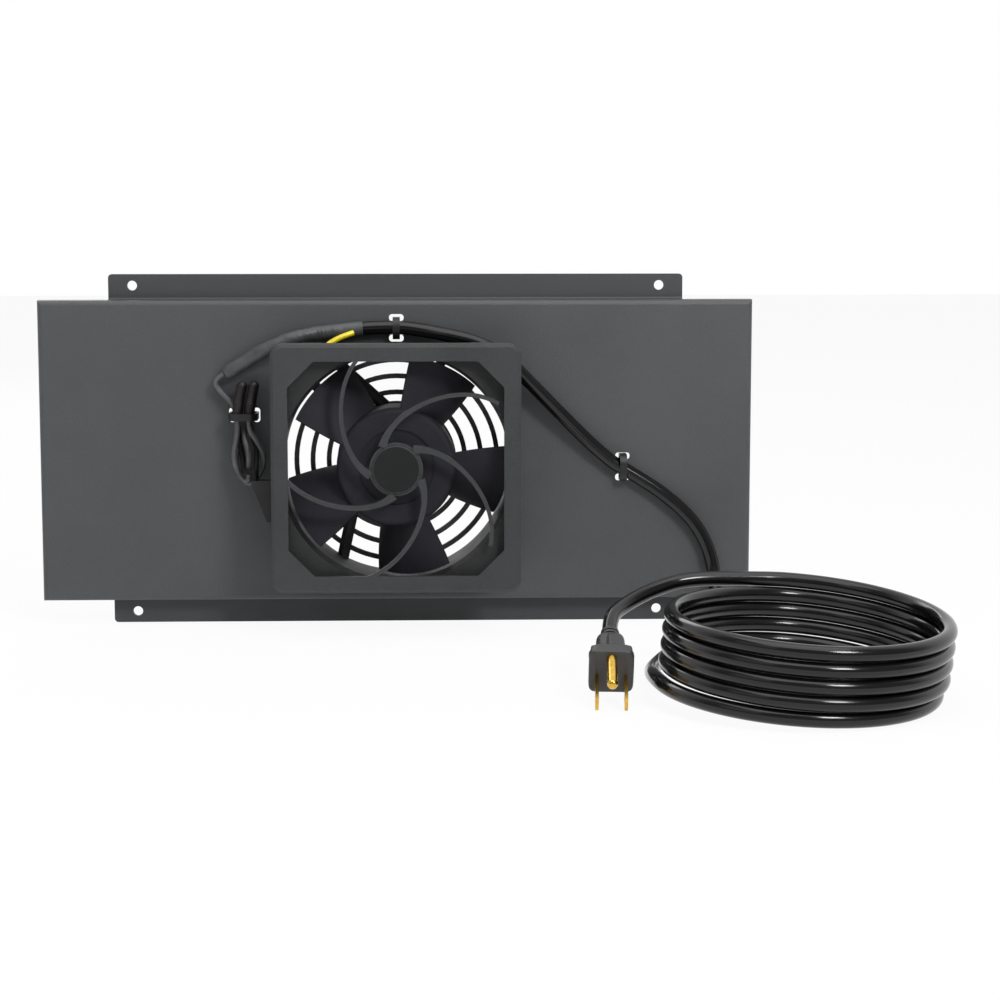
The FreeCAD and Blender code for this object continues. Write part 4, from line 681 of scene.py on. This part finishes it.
def surface(name, grid):
    """Mesh of a grid of points: rows run along the piece and each row is a closed ring.

    Each end is closed by a fan to the middle of its ring."""
    rows, columns = grid.shape[:2]
    points = grid.reshape(-1, 3)
    row, column = np.meshgrid(np.arange(rows - 1), np.arange(columns), indexing="ij")
    after = (column + 1) % columns
    quads = np.stack([row * columns + column, row * columns + after, (row + 1) * columns + after,
                      (row + 1) * columns + column], axis=-1).reshape(-1, 4)
    ring = np.arange(columns)
    ring_after = (ring + 1) % columns
    last_row = (rows - 1) * columns
    first = np.stack([np.full(columns, len(points)), ring_after, ring], axis=-1)
    last = np.stack([np.full(columns, len(points) + 1), last_row + ring, last_row + ring_after],
                    axis=-1)
    points = np.concatenate([points, [grid[0].mean(axis=0), grid[-1].mean(axis=0)]])
    mesh = bpy.data.meshes.new(name)
    mesh.from_pydata(points.tolist(), [], quads.tolist() + first.tolist() + last.tolist())
    mesh.update()
    mesh.shade_smooth()
    return in_scene(name, mesh)


def around(columns):
    """Turns of the points of a ring, as one row."""
    return np.linspace(0.0, 2 * np.pi, columns, endpoint=False)[None, :]


def rise_and_fall(place, start, rise, end, fall):
    """0, up to 1 over a rise from the start, and back to 0 over a fall that ends at the end."""
    return np.clip((place - start) / rise, 0.0, 1.0) * np.clip((end - place) / fall, 0.0, 1.0)


def bell(value, middle, width):
    return np.exp(-((value - middle) / width) ** 2)


def moulded_plug():
    """Moulded body: a rounded grip that swells at a shoulder to a square, flat-faced block.

    Sections lie across the tail's last direction.  Each is a superellipse whose half width, half
    height and exponent are read from PLUG_PROFILE; its radius gains a rounded rib along the top of
    the grip, and fine ribs on the upper corners of the block.  The front rim is a quarter round,
    and the face closes in two flat rings."""
    round_over = np.linspace(0.0, 1.0, PLUG_RIM_STEPS + 1)[1:]
    place = np.concatenate((np.linspace(PLUG_REAR, PLUG_FRONT - PLUG_RIM, PLUG_ROWS),
                            PLUG_FRONT - PLUG_RIM * (1 - round_over ** 0.6),
                            [PLUG_FRONT] * len(PLUG_FACE_RINGS)))
    table = np.array(PLUG_PROFILE)
    wide, high, power = (np.interp(place, table[:, 0], column)[:, None] for column in table.T[1:])
    turn = around(PLUG_COLUMNS)
    top = np.pi / 2
    radius = np.abs(np.cos(turn) / wide) ** power + np.abs(np.sin(turn) / high) ** power
    radius = radius ** (-1 / power)
    place = place[:, None]
    radius += GRIP_RIB * rise_and_fall(place, *GRIP_RIB_RUN) * bell(turn, top, GRIP_RIB_WIDTH)
    block = rise_and_fall(place, *FINE_RIB_RUN)
    corner = bell(np.abs(turn - top), FINE_RIB_CORNER, FINE_RIB_WIDTH)
    radius += FINE_RIB * block * corner * np.cos(FINE_RIB_COUNT * turn)
    past = np.clip((place - (PLUG_FRONT - PLUG_RIM)) / PLUG_RIM, 0.0, 1.0)
    radius -= PLUG_RIM * (1 - np.sqrt(np.clip(1 - past ** 2, 0.0, 1.0)))
    radius[-len(PLUG_FACE_RINGS):] *= np.array(PLUG_FACE_RINGS)[:, None]
    end = mathutils.Vector(TAIL_ROUTE[-1])
    along = (end - mathutils.Vector(TAIL_ROUTE[-2])).normalized()
    turned = np.array(mathutils.Vector((0.0, -1.0, 0.0)).rotation_difference(along).to_matrix())
    local = np.stack([radius * np.cos(turn), np.broadcast_to(-place, radius.shape),
                      radius * np.sin(turn)], axis=-1)
    plug = surface("moulded_plug", (local @ turned.T + np.array(end)) * MM)
    plug.data.materials.append(plug_plastic())
    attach(plug, "tray")
    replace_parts(plug, "plug_body")
    return plug


def shrink_sleeve():
    """Sleeve shrunk over its wires, folded back on itself.

    A ring is carried along the route, s millimetres from its start and at a turn round it.  Its
    radius is the sleeve's, less a shallow dent between the two wires inside, plus slow waves along
    it, plus creases across it that deepen towards the fold and lie on the inside of the bend; the
    last few millimetres taper to the mouth."""
    end = np.array(SLEEVE_ROUTE[-1])
    before = np.array(SLEEVE_ROUTE[-2])
    way = (end - before) / np.linalg.norm(end - before)
    route = list(SLEEVE_ROUTE[:-1]) + [tuple(end + way * SLEEVE_MOUTH)]
    places, line, along, side, up = centre_line(route, SLEEVE_ROW * MM)
    turn = around(SLEEVE_COLUMNS)
    s = (places / MM)[:, None]
    length = s[-1, 0]
    bend = np.gradient(along, axis=0) / np.gradient(places)[:, None]
    inward = np.stack([(bend * side).sum(axis=1), (bend * up).sum(axis=1)], axis=1)
    tightness = np.linalg.norm(inward, axis=1)
    facing = inward[:, :1] * np.cos(turn) + inward[:, 1:] * np.sin(turn)
    facing = facing / (tightness[:, None] + 1e-6)
    folded = np.clip(tightness[:, None] / SHARP_BEND, 0.0, 1.0)
    inside = np.clip(facing, 0.0, 1.0)
    waves = SLOW_WAVE[0] * np.sin(s * SLOW_WAVE[1] + 1.3 * np.sin(turn))
    waves += SHORT_WAVE[0] * np.sin(s * SHORT_WAVE[1] - turn * 2)
    dents = -WIRE_DENT * np.cos(2 * (turn - 0.6 + 0.02 * s))
    dents = dents - SIDE_DENT * np.cos(3 * turn + s * 0.11)
    fold = FOLD_CREASE[0] * np.sin(s * FOLD_CREASE[1] + 0.7 * np.sin(turn * 2)) - FOLD_SINK
    fine = FINE_CREASE[0] * np.sin(s * FINE_CREASE[1] + 2.2 * np.sin(turn + 0.4))
    creases = folded * inside * fold + (0.3 + folded) * fine
    mouth = np.clip((s - (length - SLEEVE_MOUTH)) / SLEEVE_MOUTH, 0.0, 1.0)
    wall = SLEEVE / 2 - SLEEVE_WALL_SHRINK + waves + dents + creases
    radius = wall * (1 - SLEEVE_MOUTH_TAPER * mouth ** 1.5) * MM
    grid = (line[:, None, :] + radius[..., None] * (np.cos(turn)[..., None] * side[:, None, :]
                                                    + np.sin(turn)[..., None] * up[:, None, :]))
    sleeve = surface("shrink_sleeve", grid)
    sleeve.data.materials.append(sleeve_plastic())
    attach(sleeve, "tray")
    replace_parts(sleeve, "wire_sleeve")


# ---- wires and caps at the left tie ----
def tied_wire(name, route, material):
    """A wire's route as one smooth spline with a round section."""
    wire = round_cable(name, route, WIRE, WIRE_STEPS, WIRE_ARC_STEPS, material)
    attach(wire, "tray")
    return wire


def splice_cap(name, mouth_x, material):
    """Closed-end connector: a profile turned about a line that leans over above its mouth.

    Its radius is the barrel's, plus a skirt that flares at the mouth, times the square root that
    rounds the tip into a dome, less two crimp dents on the front and the back.  Inside the mouth
    the profile turns back up and closes at the depth of the bore."""
    rise = np.concatenate((np.linspace(CAP_BORE, 0.0, CAP_BORE_ROWS),
                           np.linspace(0.25, CAP_LENGTH, CAP_ROWS)))
    in_bore = np.arange(len(rise)) < CAP_BORE_ROWS
    dome = np.clip((rise - (CAP_LENGTH - CAP_RADIUS)) / CAP_RADIUS, 0.0, 1.0)
    skirt = CAP_SKIRT * np.clip(1 - rise / CAP_SKIRT_HEIGHT, 0.0, 1.0) ** 2
    barrel = (CAP_RADIUS - CAP_SKIRT + skirt) * np.sqrt(np.clip(1 - dome ** 2, 0.0, 1.0))
    barrel[in_bore] = CAP_RADIUS - CAP_WALL
    turn = around(CAP_COLUMNS)
    crimp = CAP_CRIMP * bell(rise, CAP_CRIMP_AT, CAP_CRIMP_HEIGHT) * ~in_bore
    radius = barrel[:, None] - crimp[:, None] * np.sin(turn) ** 4
    up_the_lean = np.clip((rise - CAP_LEAN_FROM) / (CAP_LENGTH - CAP_LEAN_FROM), 0.0, 1.0)
    middle_x = mouth_x + CAP_LEAN * up_the_lean[:, None] ** 1.2
    grid = np.stack([middle_x + radius * np.cos(turn), CAP_Y + radius * np.sin(turn),
                     np.broadcast_to(CAP_MOUTH_Z + rise[:, None], radius.shape)], axis=-1) * MM
    cap = surface(name, grid)
    cap.data.materials.append(material)
    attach(cap, "tray")
    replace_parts(cap, "splice_caps")


def wires_at_left_tie():
    glossy = sheen_painted_wire()
    dull = shade_filling_wire()
    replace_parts(tied_wire("supply_line", SUPPLY_LINE_ROUTE, glossy),
                "supply_wire_line")
    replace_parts(tied_wire("supply_neutral", SUPPLY_NEUTRAL_ROUTE, glossy),
                "supply_wire_neutral")
    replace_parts(tied_wire("fan_line", FAN_LINE_ROUTE, dull), "fan_lead_line")
    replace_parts(tied_wire("fan_neutral", FAN_NEUTRAL_ROUTE, dull), "fan_lead_neutral")
    nylon = cap_nylon()
    splice_cap("splice_cap_left", CAP_A, nylon)
    splice_cap("splice_cap_right", CAP_B, nylon)


# ---- stage ----
def mix_shaders(tree, share, first, second, output):
    """Send a share of the second shader over the first to an output's surface."""
    mix = add(tree, "ShaderNodeMixShader")
    for socket, source in zip(mix.inputs, (share, first.outputs[0], second.outputs[0])):
        link(tree, source, socket)
    link(tree, mix.outputs[0], tree.nodes[output].inputs["Surface"])


def studio_floor():
    """White sheet under the tray: nearly all glow to the camera, with a soft contact shadow."""
    level = FLOOR - FLOOR_GAP
    corners = [(x * FLOOR_HALF, y * FLOOR_HALF, level)
               for x, y in ((-1, -1), (1, -1), (1, 1), (-1, 1))]
    mesh = bpy.data.meshes.new("studio_floor")
    mesh.from_pydata(corners, [], [(0, 1, 2, 3)])
    material = bpy.data.materials.new("studio white")
    material.use_nodes = True
    tree = material.node_tree
    shader = tree.nodes["Principled BSDF"]
    shader.inputs["Base Color"].default_value = (0.9, 0.9, 0.9, 1)
    shader.inputs["Roughness"].default_value = 0.8
    glow = add(tree, "ShaderNodeEmission")
    rays = add(tree, "ShaderNodeLightPath").outputs
    seen = maths(tree, "MAXIMUM", rays["Is Camera Ray"], rays["Is Transmission Ray"])
    seen = maths(tree, "MAXIMUM", seen, rays["Is Glossy Ray"])
    mix_shaders(tree, maths(tree, "MULTIPLY", seen, FLOOR_GLOW), shader, glow, "Material Output")
    mesh.materials.append(material)
    in_scene("studio_floor", mesh)


def studio_world():
    """Even grey light; camera and transmission rays see white, and so do glossy rays that head
    to the rear of the tray."""
    world = bpy.data.worlds.new("studio")
    bpy.context.scene.world = world
    world.use_nodes = True
    tree = world.node_tree
    light = tree.nodes["Background"]
    light.inputs["Color"].default_value = WHITE
    light.inputs["Strength"].default_value = WORLD_STRENGTH
    white = add(tree, "ShaderNodeBackground")
    white.inputs["Color"].default_value = WHITE
    rays = add(tree, "ShaderNodeLightPath").outputs
    direction = add(tree, "ShaderNodeTexCoord").outputs["Generated"]
    behind = remap(tree, split(tree, direction)["Y"], *WHITE_BEHIND)
    glossy = maths(tree, "MULTIPLY", rays["Is Glossy Ray"], behind)
    seen = maths(tree, "MAXIMUM", rays["Is Camera Ray"], rays["Is Transmission Ray"])
    mix_shaders(tree, maths(tree, "MAXIMUM", seen, glossy), light, white, "World Output")


def lamp(name, place, aim, size, power):
    """Square soft box at a place, turned to face a point."""
    light = bpy.data.lights.new(name, "AREA")
    light.shape = "SQUARE"
    light.size = size
    light.energy = power
    box = in_scene(name, light)
    way = np.subtract(aim, place)
    box.location = place
    box.rotation_euler = (math.atan2(math.hypot(way[0], way[1]), -way[2]), 0.0,
                          math.atan2(way[1], way[0]) - math.pi / 2)


def studio_camera():
    camera = bpy.data.cameras.new("camera")
    camera.lens = CAMERA_LENS
    camera.sensor_width = SENSOR
    holder = in_scene("camera", camera)
    holder.location = [value * MM for value in CAMERA_PLACE]
    holder.rotation_euler = (math.pi / 2 - CAMERA_PITCH, 0.0, -CAMERA_YAW)
    bpy.context.scene.camera = holder


dress(powder_coat(), "tray_panel")
dress(die_cast_black(), "fan_housing")
dress(blade_plastic(), "impeller")
dress(guard_plastic(), "fan_guard")
dress(zinc(), "fan_screws", "ground_screw", "ground_terminal")
dress(ground_steel(), "rotor_shaft", "shaft_clip", "front_bearing", "rear_bearing")
dress(cast_cage(), "rotor_ring")
dress(laminations(), "stator_core")
dress(copper(), "stator_windings")
dress(brass(), "fan_terminals", "plug_blades", "plug_ground_pin")
dress(tie_nylon(), "cable_tie_top", "cable_tie_right", "cable_tie_left")
dress(connector_nylon(), "fan_connector")
dress(wire_ground(), "ground_wire")
dress(plug_plastic(), "strain_relief")
power_cord(moulded_plug())
shrink_sleeve()
wires_at_left_tie()

studio_floor()
studio_world()
for row in LAMPS:
    lamp(*row)
studio_camera()
bpy.context.scene.view_settings.view_transform = "Standard"
